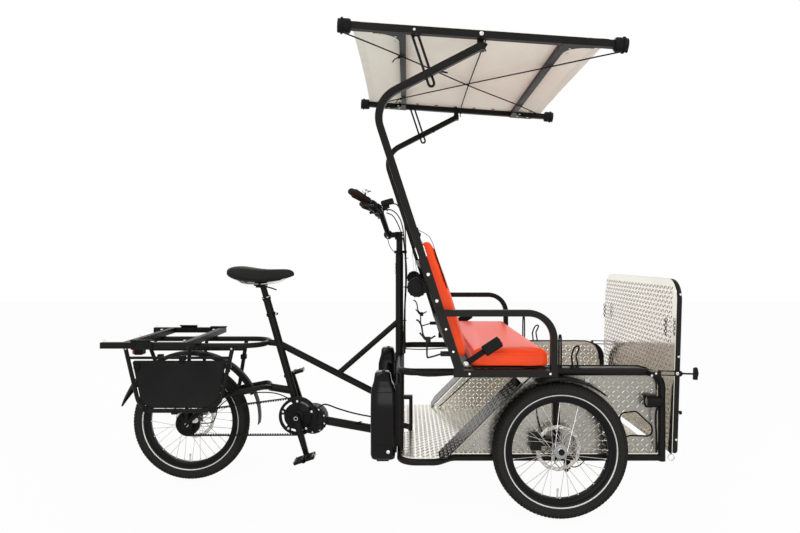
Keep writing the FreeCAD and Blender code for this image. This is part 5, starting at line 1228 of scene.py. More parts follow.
    lines = Shape()
    routes = (((-28, -138, 1236), (-8, -120, 1232), (12, -88, 1196), (26, -52, 1130), (29, -34, 1040),
        (30, -30, 940), (26, -30, 840), (22, -32, 740), (20, -40, 640), (22, -60, 575)),
        ((-52, -112, 1214), (-24, -104, 1206), (4, -80, 1172), (20, -52, 1108), (25, -40, 1030),
        (33, -36, 950), (30, -38, 850), (24, -42, 740), (24, -52, 640), (26, -75, 578)),
        ((-62, 120, 1214), (-30, 100, 1196), (0, 70, 1140), (18, 44, 1080), (26, 30, 1000), (28, 26, 880),
        (26, 26, 760), (26, 34, 650), (28, 55, 578)),)
    for route in routes:
        lines.tube(smooth_path(route, 6), 2.6, 8)
    lines.tube(smooth_path([(-52, -26, 1086), (-46, -26, 1062), (-36, -24, 1042), (-25, -19, 1030)], 5),
        1.6, 6)
    lines.tube(smooth_path([(-70, -130, 1206), (-66, -100, 1170), (-58, -60, 1128), (-52, -32, 1104)], 5),
        1.9, 6)
    piece("Control cables", lines, "hose", "front_unit", smooth=60)
    ties = Shape()
    for x, z in ((30.5, 1000), (28.5, 870), (22.5, 720)):
        ties.ring([(-1.6, 8.5), (1.6, 8.5), (1.6, 9.8), (-1.6, 9.8)], (x, -34, z), (0, 0, 1), 22)
    piece("Cable ties", ties, "plastic", "front_unit")


# ---------------------------------------------------------------- rear half

def make_saddle(settings):
    """Padded saddle with a centre channel, its shell, rails and clamp."""
    stations = (
        # x, half width, top, bottom, channel
        (-773, 40, 946, 930, 0), (-771, 58, 952, 921, 0), (-763, 72, 958, 912, 1), (-734, 81, 966, 899, 3),
        (-700, 80, 965, 891, 5), (-650, 65, 956, 888, 6), (-607, 46, 951, 888, 6), (-550, 28, 952, 896, 4),
        (-515, 22, 952, 907, 1), (-494, 18, 947, 914, 0), (-483, 12, 940, 918, 0), (-478, 4, 932, 923, 0),
    )
    rings, steps = [], 28
    for x, half, top, bottom, channel in stations:
        middle = bottom + (top - bottom) * 0.42
        ring = []
        for k in range(steps):
            a = 2 * math.pi * k / steps
            c, s = math.cos(a), math.sin(a)
            y = half * math.copysign(abs(c) ** 0.75, c)
            reach = (top - middle) if s > 0 else (middle - bottom)
            z = middle + math.copysign(abs(s) ** 0.8, s) * reach
            if s > 0:
                z -= channel * math.exp(-(y / 9) ** 2)
            ring.append((x, y, z))
        rings.append(ring)
    saddle = piece("Saddle", Shape().rings(rings), "saddle", "rear_frame", ("saddle",),
        smooth=180)
    soft = saddle.modifiers.new("Cover", "SUBSURF")
    soft.levels = soft.render_levels = 2
    rails = Shape()
    for side in (-1, 1):
        rails.tube(smooth_path([(-738, side * 24, 908), (-712, side * 23, 890), (-680, side * 22, 884),
            (-600, side * 21, 884), (-550, side * 14, 893), (-512, side * 6, 912)], 4), 3.5, 10)
    piece("Saddle rails", rails, "steel", "rear_frame")
    clamp = Shape().block((-656, -604), (-27, 27), (874, 881)).block((-652, -608), (-27, 27), (886, 890))
    clamp.tube([(-630, -30, 883), (-630, 30, 883)], 6, 16)
    clamp.tube(smooth_path([(-632, -22, 868), (-611, -27, 872), (-582, -30, 867), (-552, -31, 857)], 4),
        4.5, 8, flat=0.7)
    piece("Saddle clamp", clamp, "anodised", "rear_frame", bevel=1.5)


def belt_loop(inset=0.0):
    """The belt's line round pulley and ring, as evenly spaced places with their outward directions."""
    ring, pulley = (Vector((CRANK_X, CRANK_Z)), 85.2 - inset), (Vector((REAR_AXLE[0], REAR_AXLE[2])),
        54.2 - inset)
    gap = ring[0] - pulley[0]
    base = math.atan2(gap.y, gap.x)
    tilt = math.acos((pulley[1] - ring[1]) / gap.length)
    line = []
    for (middle, radius), first, last in ((ring, base - math.pi + tilt, base + math.pi - tilt),
            (pulley, base + math.pi - tilt, base + math.pi + tilt)):
        for k in range(61):
            a = first + (last - first) * k / 60
            line.append(middle + Vector((math.cos(a), math.sin(a))) * radius)
    total = sum((line[i] - line[i - 1]).length for i in range(len(line)))
    count = int(total / 5.5) // 2 * 2
    spots, target, run = [], 0.0, 0.0
    for i in range(len(line)):
        a, b = line[i], line[(i + 1) % len(line)]
        step = (b - a).length
        while target < run + step and len(spots) < count:
            along = (b - a).normalized()
            spots.append((a + (b - a) * ((target - run) / step), Vector((along.y, -along.x))))
            target += total / count
        run += step
    return spots


def make_drive(settings):
    """Toothed belt, ring and pulley details, motor fittings, dropouts and pedals."""
    spots = belt_loop()
    rings = []
    for place, out in spots:
        rings.append([(place.x + out.x * u, y, place.y + out.y * u)
            for y, u in ((-55.3, -1.0), (-55.3, 2.2), (-44.7, 2.2), (-44.7, -1.0))])
    piece("Belt band", Shape().rings(rings, closed=True), "belt", "rear_frame",
        ("drive_belt",), smooth=60)
    tooth = Shape().rings([[(-5.2, -3.6, 0), (5.2, -3.6, 0), (5.2, 3.6, 0), (-5.2, 3.6, 0)],
        [(-5.2, -2.4, 5.6), (5.2, -2.4, 5.6), (5.2, 2.4, 5.6), (-5.2, 2.4, 5.6)]])
    teeth = [((place.x - out.x * 0.9, -50.0, place.y - out.y * 0.9), (-out.x, 0, -out.y))
        for place, out in spots[::2]]
    repeat("Belt teeth", tooth, teeth, "belt", "rear_frame")

    crank = Vector((CRANK_X, -50, CRANK_Z))
    bolts = []
    for k in range(5):
        a = math.radians(90 + 72 * k)
        bolts.append((crank + Vector((67 * math.cos(a), -5.2, 67 * math.sin(a))), -ACROSS))
    bolt_row("Ring bolts", (6.0, 3.4, 2.6), bolts, "cranks")
    guard = Shape().ring([(-5.6, 70), (-5.6, 78.6), (-4.4, 80.4), (-3.8, 80.4), (-3.8, 70)], crank, ACROSS,
        96)
    spider = Shape()
    for k in range(5):
        a = math.radians(90 + 72 * k)
        out, side = Vector((math.cos(a), 0, math.sin(a))), Vector((-math.sin(a), 0, math.cos(a)))
        near = crank + Vector((0, -3, 0))
        outline = [near + out * r + side * w for r, w in ((20, 15), (34, 9), (52, 8), (62, 13), (72, 13),
            (74, 8), (74, -8), (72, -13), (62, -13), (52, -8), (34, -9), (20, -15))]
        spider.plate(outline, (0, -2.2, 0))
    spider.turned([(0, 0), (0, 27), (-5, 26), (-7, 20), (-7, 0)], crank + Vector((0, -2, 0)), ACROSS, 40)
    guard.turned([(2.5, 0), (2.5, 60), (-1, 60), (-2, 58), (-2, 0)], crank, ACROSS, 72)
    piece("Belt guard", guard, "anodised", "cranks")
    piece("Ring spider", spider, "anodised", "cranks", bevel=0.6)
    for side, way in ((-1, 1), (1, -1)):
        face = Vector((CRANK_X, side * 96.0, CRANK_Z))
        cap = Shape().turned([(0, 0), (0, 12.5), (1.6, 12), (2, 8), (1, 7.4), (1, 4), (2.4, 3.6), (2.4, 0)],
            face, ACROSS * side, 28)
        end = Vector((CRANK_X + way * CRANK_LONG * math.cos(CRANK_ANGLE), side * 96.0,
            CRANK_Z + way * CRANK_LONG * math.sin(CRANK_ANGLE)))
        groove = Shape()
        run = (end - face).normalized()
        across = run.cross(ACROSS)
        outline = [face + run * a + across * b for a, b in ((24, -5), (24, 5), (140, 3.6), (140, -3.6))]
        groove.plate(outline, ACROSS * side * 0.9)
        hand = "right" if side < 0 else "left"
        piece(f"Crank cap {hand}", cap, "plastic", "cranks")
        piece(f"Crank bolt ring {hand}", Shape().ring([(0.5, 6.6), (2.6, 6.6), (2.6, 8.8), (0.5, 8.8)],
            face, ACROSS * side, 24), "steel", "cranks")
        piece(f"Crank rib {hand}", groove, "casing", "cranks", bevel=0.4)

    for name, side in SIDES:
        middle = Vector(((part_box(f"pedal_{name}")[0].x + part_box(f"pedal_{name}")[1].x) / 2 / MM
            - AXIS_X / MM, side * 141.0, (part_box(f"pedal_{name}")[0].z
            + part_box(f"pedal_{name}")[1].z) / 2 / MM))
        turn = Matrix.Translation(middle) @ Matrix.Rotation(math.radians(-17.9), 4, "Y")
        frame_bars = Shape()
        outline = rounded([(-46, -40, 9), (46, -40, 9), (46, 40, 9), (-46, 40, 9)], 4)
        hole = rounded([(-33, -31, 6), (33, -31, 6), (33, 31, 6), (-33, 31, 6)], 4)
        rings = [[(p.x, p.y, z) for p in loop] for z, loop in ((-6, outline), (6, outline), (6, hole),
            (-6, hole))]
        frame_bars.rings([[ring[i] for ring in rings] for i in range(len(outline))], closed=True)
        frame_bars.block((-34, -9), (-9, -3), (-5.5, 5.5)).block((9, 34), (-9, -3), (-5.5, 5.5))
        frame_bars.block((-34, -9), (14, 20), (-5.5, 5.5)).block((9, 34), (14, 20), (-5.5, 5.5))
        frame_bars.turned([(-40, 0), (-40, 10), (-20, 11), (20, 11), (40, 10), (40, 0)], (0, 0, 0),
            (0, 1, 0), 20)
        frame_bars.move(turn)
        piece(f"Pedal body {name}", frame_bars, "plastic", f"pedal_{name}",
            (f"pedal_{name}",), bevel=0.8)
        pins = [(turn @ Vector((x, y, 6 * w)), turn.to_3x3() @ Vector((0, 0, w))) for x in (-41, 41)
            for y in (-30, -10, 10, 30) for w in (-1, 1)]
        pin = Shape().turned([(-1, 0), (-1, 2.2), (3.4, 2.0), (3.8, 0)], (0, 0, 0), (0, 0, 1), 8)
        repeat(f"Pedal pins {name}", pin, pins, "steel", f"pedal_{name}")
        glow = Shape()
        for x in (-46.6, 46.6):
            glow.block((x - 1.6, x + 1.6), (-17, 17), (-4.2, 4.2))
        glow.move(turn)
        piece(f"Pedal reflectors {name}", glow, "amber", f"pedal_{name}", bevel=0.8)

    drum = Vector((-389, -34, 272))
    fins = Shape()
    for k in range(22):
        a = 2 * math.pi * k / 22
        out, side = Vector((math.cos(a), 0, math.sin(a))), Vector((-math.sin(a), 0, math.cos(a)))
        if out.x > -0.5:
            outline = [drum + out * 58 + side * w + ACROSS * y
                for w, y in ((-1.6, 6), (1.6, 6), (1.6, 62), (-1.6, 62))]
            fins.plate(outline, out * 6.5)
    fins.turned([(0, 0), (0, 46), (-3, 43), (-4, 0)], drum, ACROSS, 48)
    fins.turned([(0, 0), (0, 14), (-8, 12), (-9, 0)], drum + Vector((34, 0, -30)), ACROSS, 24)
    piece("Motor fins", fins, "casing", "rear_frame", bevel=0.5)
    spots = []
    for k in range(7):
        a = math.radians(-130 + 38 * k)
        spots.append((drum + Vector((54 * math.cos(a), -0.2, 54 * math.sin(a))), -ACROSS))
        spots.append((drum + Vector((54 * math.cos(a), 72.2, 54 * math.sin(a))), ACROSS))
    bolt_row("Motor bolts", (4.6, 3.4, 2), spots, "rear_frame")

    for name, side in SIDES:
        plate = rounded([(-948, 268, 9), (-892, 270, 9), (-890, 291, 9), (-944, 294, 9)], 4)
        drop = Shape().plate([(p.x, side * 73, p.y) for p in plate], (0, side * 3, 0))
        piece(f"Dropout plate {name}", drop, "steel", "rear_frame", bevel=0.6)
        nut = Shape().turned([(0, 0), (0, 15), (4, 15), (4.5, 11), (12, 10), (13, 0)],
            (REAR_AXLE[0], side * 67, REAR_AXLE[2]), ACROSS * side, 6)
        piece(f"Axle nut {name}", nut, "steel", "rear_frame", bevel=0.8)
    spots = [(Vector((x, side * 76, z)), ACROSS * side) for side in (-1, 1)
        for x, z in ((-934, 283), (-906, 281))]
    bolt_row("Dropout bolts", (5, 3.2, 2.4), spots, "rear_frame")
    teeth = Shape().rings([[(-9, -4, -2), (9, -4, -2), (9, 4, -2), (-9, 4, -2)],
        [(-9, -2.6, 3.2), (9, -2.6, 3.2), (9, 2.6, 3.2), (-9, 2.6, 3.2)]])
    around = [(wheel_spot(REAR_AXLE, 2 * math.pi * k / 32, 50.6, -49),
        wheel_spot((0, 0, 0), 2 * math.pi * k / 32, 1, 0), 0, (0.55, 0.8, 0.6)) for k in range(32)]
    repeat("Pulley teeth", teeth, around, "anodised", "rear_wheel")
    arms = Shape()
    for k in range(5):
        a = 2 * math.pi * k / 5
        path = [wheel_spot(REAR_AXLE, a + t, r, -57.5)
            for t, r in ((0, 14), (0.12, 26), (0.3, 37), (0.38, 46))]
        arms.tube(smooth_path(path, 3), 4.4, 8, flat=0.4)
    arms.ring([(-59, 14), (-57, 20), (-55, 20), (-55, 14)], REAR_AXLE, ACROSS, 40)
    piece("Pulley arms", arms, "anodised", "rear_wheel")

    run = Shape()
    run.tube(smooth_path([(-360, -30, 330), (-330, -44, 345), (-270, -34, 322), (-200, -26, 300),
        (-120, -24, 284), (-60, -24, 276)], 6), 3.4, 8)
    run.tube(smooth_path([(-470, -36, 340), (-500, -40, 372), (-560, -42, 395), (-640, -44, 398),
        (-700, -52, 392)], 6), 2.6, 8)
    run.tube(smooth_path([(-330, 20, 250), (-300, 10, 236), (-240, -10, 246), (-170, -22, 262)], 6), 2.8, 8)
    run.tube(smooth_path([(-700, -60, 392), (-760, -72, 372), (-800, -80, 338), (-812, -80, 300),
        (-830, -74, 272), (-880, -70, 266)], 6), 2.4, 8)
    piece("Motor cables", run, "hose", "rear_frame", smooth=60)


def make_rack(settings):
    """Pannier panels with clips, deck brackets with knobs, rear light and the fender's flap."""
    splay = math.tan(math.radians(8.5))
    loop = rounded([(-1160, -63, 10), (-1104, -263, 70), (-783, -263, 70), (-750, -63, 10)], 8)
    middle = Vector((sum(p.x for p in loop), sum(p.y for p in loop))) / len(loop)
    rings = [[Vector((q.x, -(123 - splay * q.y + bulge), 618 + q.y))
        for q in (middle + (p - middle) * share for p in loop)]
        for share, bulge in ((0.25, -3.0), (0.8, -2.6), (0.94, -2.2), (0.985, -1.2), (1.0, 0.0),
        (0.985, 2.4), (0.94, 3.4), (0.9, 3.0), (0.8, 5.0), (0.55, 7.0), (0.25, 7.8), (0.02, 8.0))]
    obj = piece("Pannier panel", Shape().rings(rings), "pannier", "rear_frame",
        ("pannier_right",), smooth=60)
    clips = Shape()
    for side, x, z in ((-1, -941, 566), (-1, -1136, 532), (-1, -741, 532), (-1, -1089, 352),
            (-1, -963, 341), (-1, -799, 348), (1, -1136, 532), (1, -741, 532)):
        y = side * (123 + splay * (618 - z))
        clips.block((x - 13, x + 13), (y - 12, y + 12), (z - 11, z + 11))
        if side < 0:
            clips.block((x - 9, x + 9), (y - 10, y), (z - (26 if z > 500 else -2), z + 10))
    piece("Pannier clips", clips, "plastic", "rear_frame", bevel=2)
    for name, side in SIDES:
        bracket = Shape().block((-1096, -1014), mirrored(side, 304, 280), (660.8, 665))
        bracket.block((-1096, -1014), mirrored(side, 300.5, 304), (634, 665))
        piece(f"Deck bracket {name}", bracket, "plastic", "rear_frame", bevel=1.5)
        knobs = Shape()
        for x in (-1084, -1030):
            knobs.turned([(0, 0), (0, 9), (1.5, 12), (8, 12), (10, 10), (10.5, 0)], (x, side * 303, 648.5),
                ACROSS * side, 28)
        piece(f"Deck knobs {name}", knobs, "plastic", "rear_frame", bevel=1.5)
    light = Shape().block((-1198, -1160), (-24, 24), (562, 606))
    piece("Rear light case", light, "plastic", "rear_frame", ("rear_light",), bevel=5,
        segments=3)
    lens = Shape().block((-1207, -1192), (-21, 21), (565, 600))
    piece("Rear light lens", lens, "red", "rear_frame", bevel=4, segments=3)
    arm = Shape().tube(smooth_path([(-1168, 0, 604), (-1150, 0, 606), (-1128, 0, 600)], 4), 6, 10)
    arm.tube([(-1128, -60, 612), (-1128, 60, 612)], 5, 10)
    piece("Rear light arm", arm, "dark_steel", "rear_frame")
    shell = Shape()
    sections = []
    for k in range(75):
        turn = 24 + k * 2.0 if k < 66 else 154 + (k - 65) * 1.6
        late = max(0.0, (turn - 152) / 16.4)
        radius, skirt, half = 319.5 + 10 * late ** 1.5, 17 * (1 - 0.7 * late), 36 * (1 - 0.93 * late ** 1.3)
        section = []
        for thick, shares in ((0.0, range(-8, 9)), (2.2, range(8, -9, -1))):
            for v in shares:
                drop = skirt * abs(v / 8) ** 3.2
                section.append(wheel_spot(REAR_AXLE, math.radians(turn), radius - drop - thick,
                    half * v / 8 * (1 - thick / 60)))
        sections.append(section)
    shell.rings(sections)
    piece("Rear fender", shell, "plastic", "rear_frame", ("rear_fender",), smooth=40)
    flap = Shape()
    lay_strap(flap, smooth_path([(-655, 0, 388), (-643, 0, 352), (-636, 0, 312), (-634, 0, 276),
        (-637, 0, 248)], 5), 58, 3.2)
    piece("Fender flap", flap, "plastic", "rear_frame", bevel=0.8)
    stays = Shape()
    for side in (-1, 1):
        stays.tube(smooth_path([(-942, side * 66, 272), (-1040, side * 58, 380), (-1110, side * 44, 460),
            (-1150, side * 36, 486)], 4), 2.6, 8)
    piece("Fender stays", stays, "dark_steel", "rear_frame")
    pads = Shape()
    for x in (-1126, -880.5):
        for side in (-1, 1):
            pads.block((x - 16, x + 16), mirrored(side, 106, 140), (626.6, 630))
    piece("Deck pads", pads, "plastic", "rear_frame", bevel=0.8)
    spots = [(Vector((x, side * y, 661)), (0, 0, 1), 0.3) for side in (-1, 1)
        for x, y in ((-1126, 123), (-880.5, 123), (-1210, 286), (-880.5, 286))]
    bolt_row("Deck bolts", (6, 3.4, 2.6), spots, "rear_frame")


# ---------------------------------------------------------------- box, gate, batteries

HAND_HOLE = ((866, 268, 12), (905, 300, 60), (1004, 296, 22), (1004, 336, 26), (940, 396, 24),
    (878, 388, 22))


def make_box(settings):
    """Edge strips, wire loops, hoses, lamps, brake calipers' bolts and the lower rail's strips."""
    for name, side in SIDES:
        trim = Shape()
        path = [Vector((x, side * 389.5, z)) for x, z in ((1020, 480), (1020, 505), (1014, 528),
            (1000, 552), (980, 566), (950, 574), (900, 575), (590, 575), (570, 572), (555, 560), (500, 510),
            (200, 238))]
        trim.tube(path, 3.6, 8)
        hole = [Vector((p.x, side * 389.5, p.y)) for p in rounded(HAND_HOLE, 8)]
        trim.tube(hole, 3.4, 8, closed=True)
        piece(f"Wall edge strip {name}", trim, "hose", "front_unit", smooth=60)

        loops = Shape()
        y = side * 405
        loops.tube(smooth_path([(632, y, 566), (632, y, 640), (633, y, 690), (636, y, 698), (640, y, 690),
            (641, y, 640), (641, y, 566)], 3), 3.6, 8)
        loops.tube(smooth_path([(686, y, 566), (683, y, 600), (682, y, 614), (690, y - side * 4, 640),
            (698, y - side * 6, 651), (708, y - side * 6, 654), (712, y - side * 4, 648), (706, y, 630),
            (700, y, 616), (704, y, 590), (708, y, 566)], 3), 3.6, 8)
        loops.block((626, 647), mirrored(side, 398, 412), (562, 570))
        loops.block((678, 716), mirrored(side, 398, 412), (562, 570))
        piece(f"Hook loops {name}", loops, "dark_steel", "front_unit")

        lamp = Shape().turned([(6, 0), (6, 19.5), (1, 20.5), (0, 22.4), (1.5, 23.4), (22, 23.2), (44, 21),
            (58, 18.6), (64, 16.5), (66, 12), (66, 0)], (967, side * 420, 440), (1, 0, 0), 36)
        piece(f"Side lamp {name}", lamp, "plastic", "front_unit", ("side_lamps",), smooth=45)
        glass = Shape().turned([(5.6, 0), (5.6, 19), (3.4, 16), (2.4, 9), (2.2, 0)], (967, side * 420, 440),
            (1, 0, 0), 28)
        piece(f"Side lamp lens {name}", glass, "lens", "front_unit")
        bracket = Shape().block((1014, 1030), mirrored(side, 400, 424), (420, 432))
        bracket.tube(smooth_path([(1020, side * 418, 424), (1008, side * 420, 400), (1006, side * 420, 360),
            (1010, side * 418, 320), (1012, side * 414, 280), (1012, side * 412, 240)], 4), 4.2, 8)
        piece(f"Lamp hose {name}", bracket, "hose", "front_unit", bevel=0.8, smooth=60)

        catch = Shape().block((652, 676), mirrored(side, 396, 412), (172, 212))
        catch.turned([(-9, 0), (-9, 10), (9, 10), (9, 0)], (660, side * 404, 172), ACROSS, 24)
        catch.tube(smooth_path([(668, side * 404, 190), (690, side * 402, 178), (716, side * 400, 186),
            (736, side * 400, 206)], 4), 2.4, 8)
        piece(f"Brake junction {name}", catch, "plastic", "front_unit", bevel=1.2)
        strip = Shape().block((900, 1010), mirrored(side, 404, 406.4), (218, 230))
        piece(f"Rail strip {name}", strip, "paint", "front_unit", bevel=0.4)

        rim = Shape()
        outline = smooth_path([(FRONT_AXLE_X + 273.2 * math.cos(math.radians(a)), side * 470,
            TYRE_R + 273.2 * math.sin(math.radians(a))) for a in range(52, 109, 8)], 3)
        rim.tube([p + ACROSS * side * 16 for p in outline], 2.4, 8)
        rim.tube([p - ACROSS * side * 48 for p in outline], 2.0, 8)
        piece(f"Fender edge {name}", rim, "plastic", "front_unit")
        brace = Shape()
        brace.tube(smooth_path([(762, side * 470, 497), (752, side * 440, 506), (744, side * 412, 512)], 4),
            3, 8)
        brace.block((736, 752), mirrored(side, 391, 396), (500, 524))
        piece(f"Fender brace {name}", brace, "steel", "front_unit", bevel=0.8)

    spots = []
    for name, side in SIDES:
        out = ACROSS * side
        for x, z in ((1006, 250), (640, 250), (400, 250), (1002, 480), (300, 262)):
            spots.append((Vector((x, side * 391, z)), out, 0.4, (0.9, 0.9, 0.9)))
        for x, z in ((1042 - 50, 557), (1026 - 50, 549)):
            spots.append((Vector((x, side * 463, z)), out, 0.3, (0.75, 0.75, 0.75)))
    bolt_row("Box bolts", (6.2, 3.4, 2.6), spots, "front_unit")

    hoses = Shape()
    for side in (-1, 1):
        hoses.tube(smooth_path([(575, side * 424, 300), (560, side * 410, 330), (548, side * 396, 380),
            (540, side * 380, 440), (470, side * 372, 520), (300, side * 376, 540), (120, side * 380, 532),
            (30, side * 340, 540)], 6), 2.6, 8)
    piece("Brake hoses", hoses, "hose", "front_unit", smooth=60)


def make_gate(settings):
    """Latch pins, hinge rings, chains and the gate's bolts."""
    spots, rings = [], Shape()
    for _, side in SIDES:
        out = ACROSS * side
        spots.append((Vector((1073, side * 465.2, 557)), out, 0.2, (1.15, 1.15, 1.15)))
        for z in (300, 620, 860):
            x = GATE_HINGE[0] + 6 + math.tan(GATE_LEAN) * (z - GATE_HINGE[1])
            spots.append((Vector((x, side * 455.2, z)), out, 0.5, (0.8, 0.8, 0.8)))
        rings.ring([(-1.4, 11), (1.4, 11), (1.4, 13.6), (-1.4, 13.6)], (1058, side * 443, 229), out, 32)
        rings.tube([(1058, side * 425, 243), (1058, side * 452, 243)], 2.2, 8)
    bolt_row("Gate bolts", (6.2, 3.6, 2.6), spots, "gate")
    piece("Hinge pin rings", rings, "steel", "front_unit")
    nubs = Shape()
    for side in (-1, 1):
        nubs.turned([(0, 0), (0, 8), (7, 7), (9, 4), (9, 0)], (1090, side * 443, 402), (1, 0, 0), 20)
        knob = smooth_path([(1144, side * 459.5, 535), (1149, side * 459.5, 557),
            (1144, side * 459.5, 579)], 4)
        nubs.tube(knob, [6.5, 7, 7.4, 7.6, 7.8, 7.6, 7.4, 7, 6.5], 12)
    piece("Gate stops", nubs, "plastic", "gate", bevel=0.6)
    links = Shape()
    for side in (-1, 1):
        for k in range(6):
            z = 758 - 11 * k
            axis = (1, 0, 0) if k % 2 else (0, 1, 0)
            links.ring([(-1.1, 4.4), (1.1, 4.4), (1.1, 6.8), (-1.1, 6.8)],
                (1054 - 2 * k * 0.2, side * 402, z), axis, 14)
    piece("Gate chains", links, "dark_steel", "gate")


def make_batteries(settings):
    """Battery packs with shoulders, a carry handle and their docks."""
    for name, side in SIDES:
        y = mirrored(side, 310, 398)
        middle = (y[0] + y[1]) / 2
        stations = (
            # height, rear x, front x, half width
            (200, -98, -22, 30), (206, -106, -14, 38), (222, -110, -12, 43), (400, -110, -12, 43.5),
            (468, -109, -13, 43), (492, -104, -18, 40), (510, -98, -26, 36),
            (540, -94, -32, 33), (547, -88, -38, 28),
        )
        rings = []
        for z, rear, front, half in stations:
            loop = rounded([(rear, -half, 14), (front, -half, 14), (front, half, 14), (rear, half, 14)], 5)
            rings.append([(p.x, middle + p.y, z) for p in loop])
        piece(f"Battery case {name}", Shape().rings(rings), "gloss", "front_unit",
            (f"battery_{name}",), smooth=45)
        rim = Shape()
        face = side * 398.8
        for z in (262, 470):
            rim.block((-104, -20), sorted((face, face - side * 3)), (z - 1.2, z + 1.2))
        rim.block((-66, -52), mirrored(side, 346, 362), (545, 552))
        rim.block((-12, -6), mirrored(side, 322, 386), (230, 500))
        rim.block((-86, -38), mirrored(side, 330, 378), (193, 202))
        piece(f"Battery dock {name}", rim, "plastic", "front_unit", bevel=1)
        lock = Shape().turned([(0, 0), (0, 7), (2, 7), (2.5, 5), (2.5, 0)], (-40, side * 398.5, 236),
            ACROSS * side, 20)
        piece(f"Battery lock {name}", lock, "steel", "front_unit")


def make_frame_details(settings):
    """Seat clamp, seat post band, and the bolts of the clamp and hoops on the frame."""
    lean = (-0.274, 0, 0.962)
    clamp = Shape().ring([(-7, 17), (-7, 21), (7, 21), (7, 17)], (-583.5, 0, 745), lean, 40)
    clamp.block((-566, -552), (-5, 5), (742, 752))
    clamp.ring([(-6, 14.2), (-6, 19.6), (6, 19.6), (6, 14.2)], (-605, 0, 821), lean, 40)
    piece("Seat clamp", clamp, "anodised", "rear_frame")
    band = Shape().ring([(-1.6, 19.5), (-1.6, 20.4), (1.6, 20.4), (1.6, 19.5)], (-605, 0, 821), lean, 40)
    piece("Seat post band", band, "steel", "rear_frame")
    spots = [(Vector((-560, side * 5, 747)), ACROSS * side, 0, (0.7, 0.7, 0.7)) for side in (-1, 1)]
    spots += [(Vector((-1195 + 7, side * 134.5, 606)), ACROSS * side, 0, (0.8, 0.8, 0.8))
        for side in (-1, 1)]
    spots += [(Vector((-728, side * 134.5, 606)), ACROSS * side, 0, (0.8, 0.8, 0.8)) for side in (-1, 1)]
    bolt_row("Frame bolts", (6, 3.4, 2.6), spots, "rear_frame")


# ---------------------------------------------------------------- settings

class RickshawStage(bpy.types.PropertyGroup):
    """Light and camera."""

    floor_size: FloatProperty(name="Floor", description="Side of the floor", default=24.0, min=4.0,
        unit="LENGTH")
    sky: FloatProperty(name="Sky", description="Strength of the even light from all round", default=0.62,
        min=0.0)
    key: FloatProperty(name="Key lamp", description="Power of the main lamp", default=75.0, min=0.0,
        unit="POWER")
    lens: FloatProperty(name="Lens", description="Focal length on a 36 mm sensor", default=29.7, min=8.0)
    camera: FloatVectorProperty(name="Camera", description="Place of the camera",
        default=(0.0849, -3.0, 1.005), subtype="XYZ", unit="LENGTH")


class RickshawColours(bpy.types.PropertyGroup):
    """Colours that an owner would choose."""

    paint: FloatVectorProperty(name="Frame", description="Powder coat of the frame",
        default=(0.0120, 0.0115, 0.0105), subtype="COLOR", min=0.0, max=1.0)
    vinyl: FloatVectorProperty(name="Seats", description="Vinyl of the bench", default=(0.97, 0.07, 0.010),
        subtype="COLOR", min=0.0, max=1.0)
    canvas: FloatVectorProperty(name="Canopy", description="Canvas of the canopy",
        default=(0.95, 0.965, 0.86), subtype="COLOR", min=0.0, max=1.0)


class RickshawSizes(bpy.types.PropertyGroup):
    """Sizes of the details."""

    tread_blocks: IntProperty(name="Tread blocks", description="Blocks round each tyre in a row",
        default=108, min=12)
    spokes: IntProperty(name="Spokes", description="Spokes of each wheel", default=32, min=8)
    rotor_width: FloatProperty(name="Rotor", description="Diameter of a brake rotor", default=0.18, min=0.1,
        unit="LENGTH")
    tread_pitch: FloatProperty(name="Tread pitch",
        description="Distance between lozenges of the tread plate", default=0.019, min=0.01, unit="LENGTH")
    lozenge_length: FloatProperty(name="Lozenge length", description="Length of a raised lozenge",
        default=0.021, min=0.005, unit="LENGTH")
    lozenge_width: FloatProperty(name="Lozenge width", description="Width of a raised lozenge",
        default=0.0052, min=0.001, unit="LENGTH")
    cushion_voxel: FloatProperty(name="Cushion grain", description="Mesh size of the padded covers",
        default=0.007, min=0.004, unit="LENGTH")


class RickshawSettings(bpy.types.PropertyGroup):
    """Everything that can be set."""

    stage: PointerProperty(type=RickshawStage, name="Stage", description="Light and camera")
    colours: PointerProperty(type=RickshawColours, name="Colours", description="Colours of the rickshaw")
    sizes: PointerProperty(type=RickshawSizes, name="Sizes", description="Sizes of the repeated details")


# ---------------------------------------------------------------- operators

class PieceMaker:
    """What the tools that make pieces have in common."""

    def execute(self, context):
        self.make(context.scene.rickshaw.sizes)
        return {"FINISHED"}


class RICKSHAW_OT_finishes(bpy.types.Operator):
    """Make the finishes and set those of the CAD frame"""

    bl_idname = "rickshaw.finishes"
    bl_label = "Finishes"

    def execute(self, context):
        LOOKS.clear()
        LOOKS.update(make_finishes(context.scene.rickshaw.colours))
        dress_frame(context)
        return {"FINISHED"}


class RICKSHAW_OT_stage(bpy.types.Operator):
    """Make the floor, lamps and camera"""

    bl_idname = "rickshaw.stage"
    bl_label = "Stage"

    def execute(self, context):
        make_stage(context.scene.rickshaw.stage)
        return {"FINISHED"}


class RICKSHAW_OT_tyres(PieceMaker, bpy.types.Operator):
    """Make the tyres with their tread and stripes"""

    bl_idname = "rickshaw.tyres"
    bl_label = "Tyres"
    make = staticmethod(make_tyres)


class RICKSHAW_OT_wheels(PieceMaker, bpy.types.Operator):
    """Make the rims, spokes, hubs and valves"""

    bl_idname = "rickshaw.wheels"
    bl_label = "Wheels"
    make = staticmethod(make_wheels)


class RICKSHAW_OT_rotors(PieceMaker, bpy.types.Operator):
    """Make the brake rotors"""

    bl_idname = "rickshaw.rotors"
    bl_label = "Rotors"
    make = staticmethod(make_rotors)


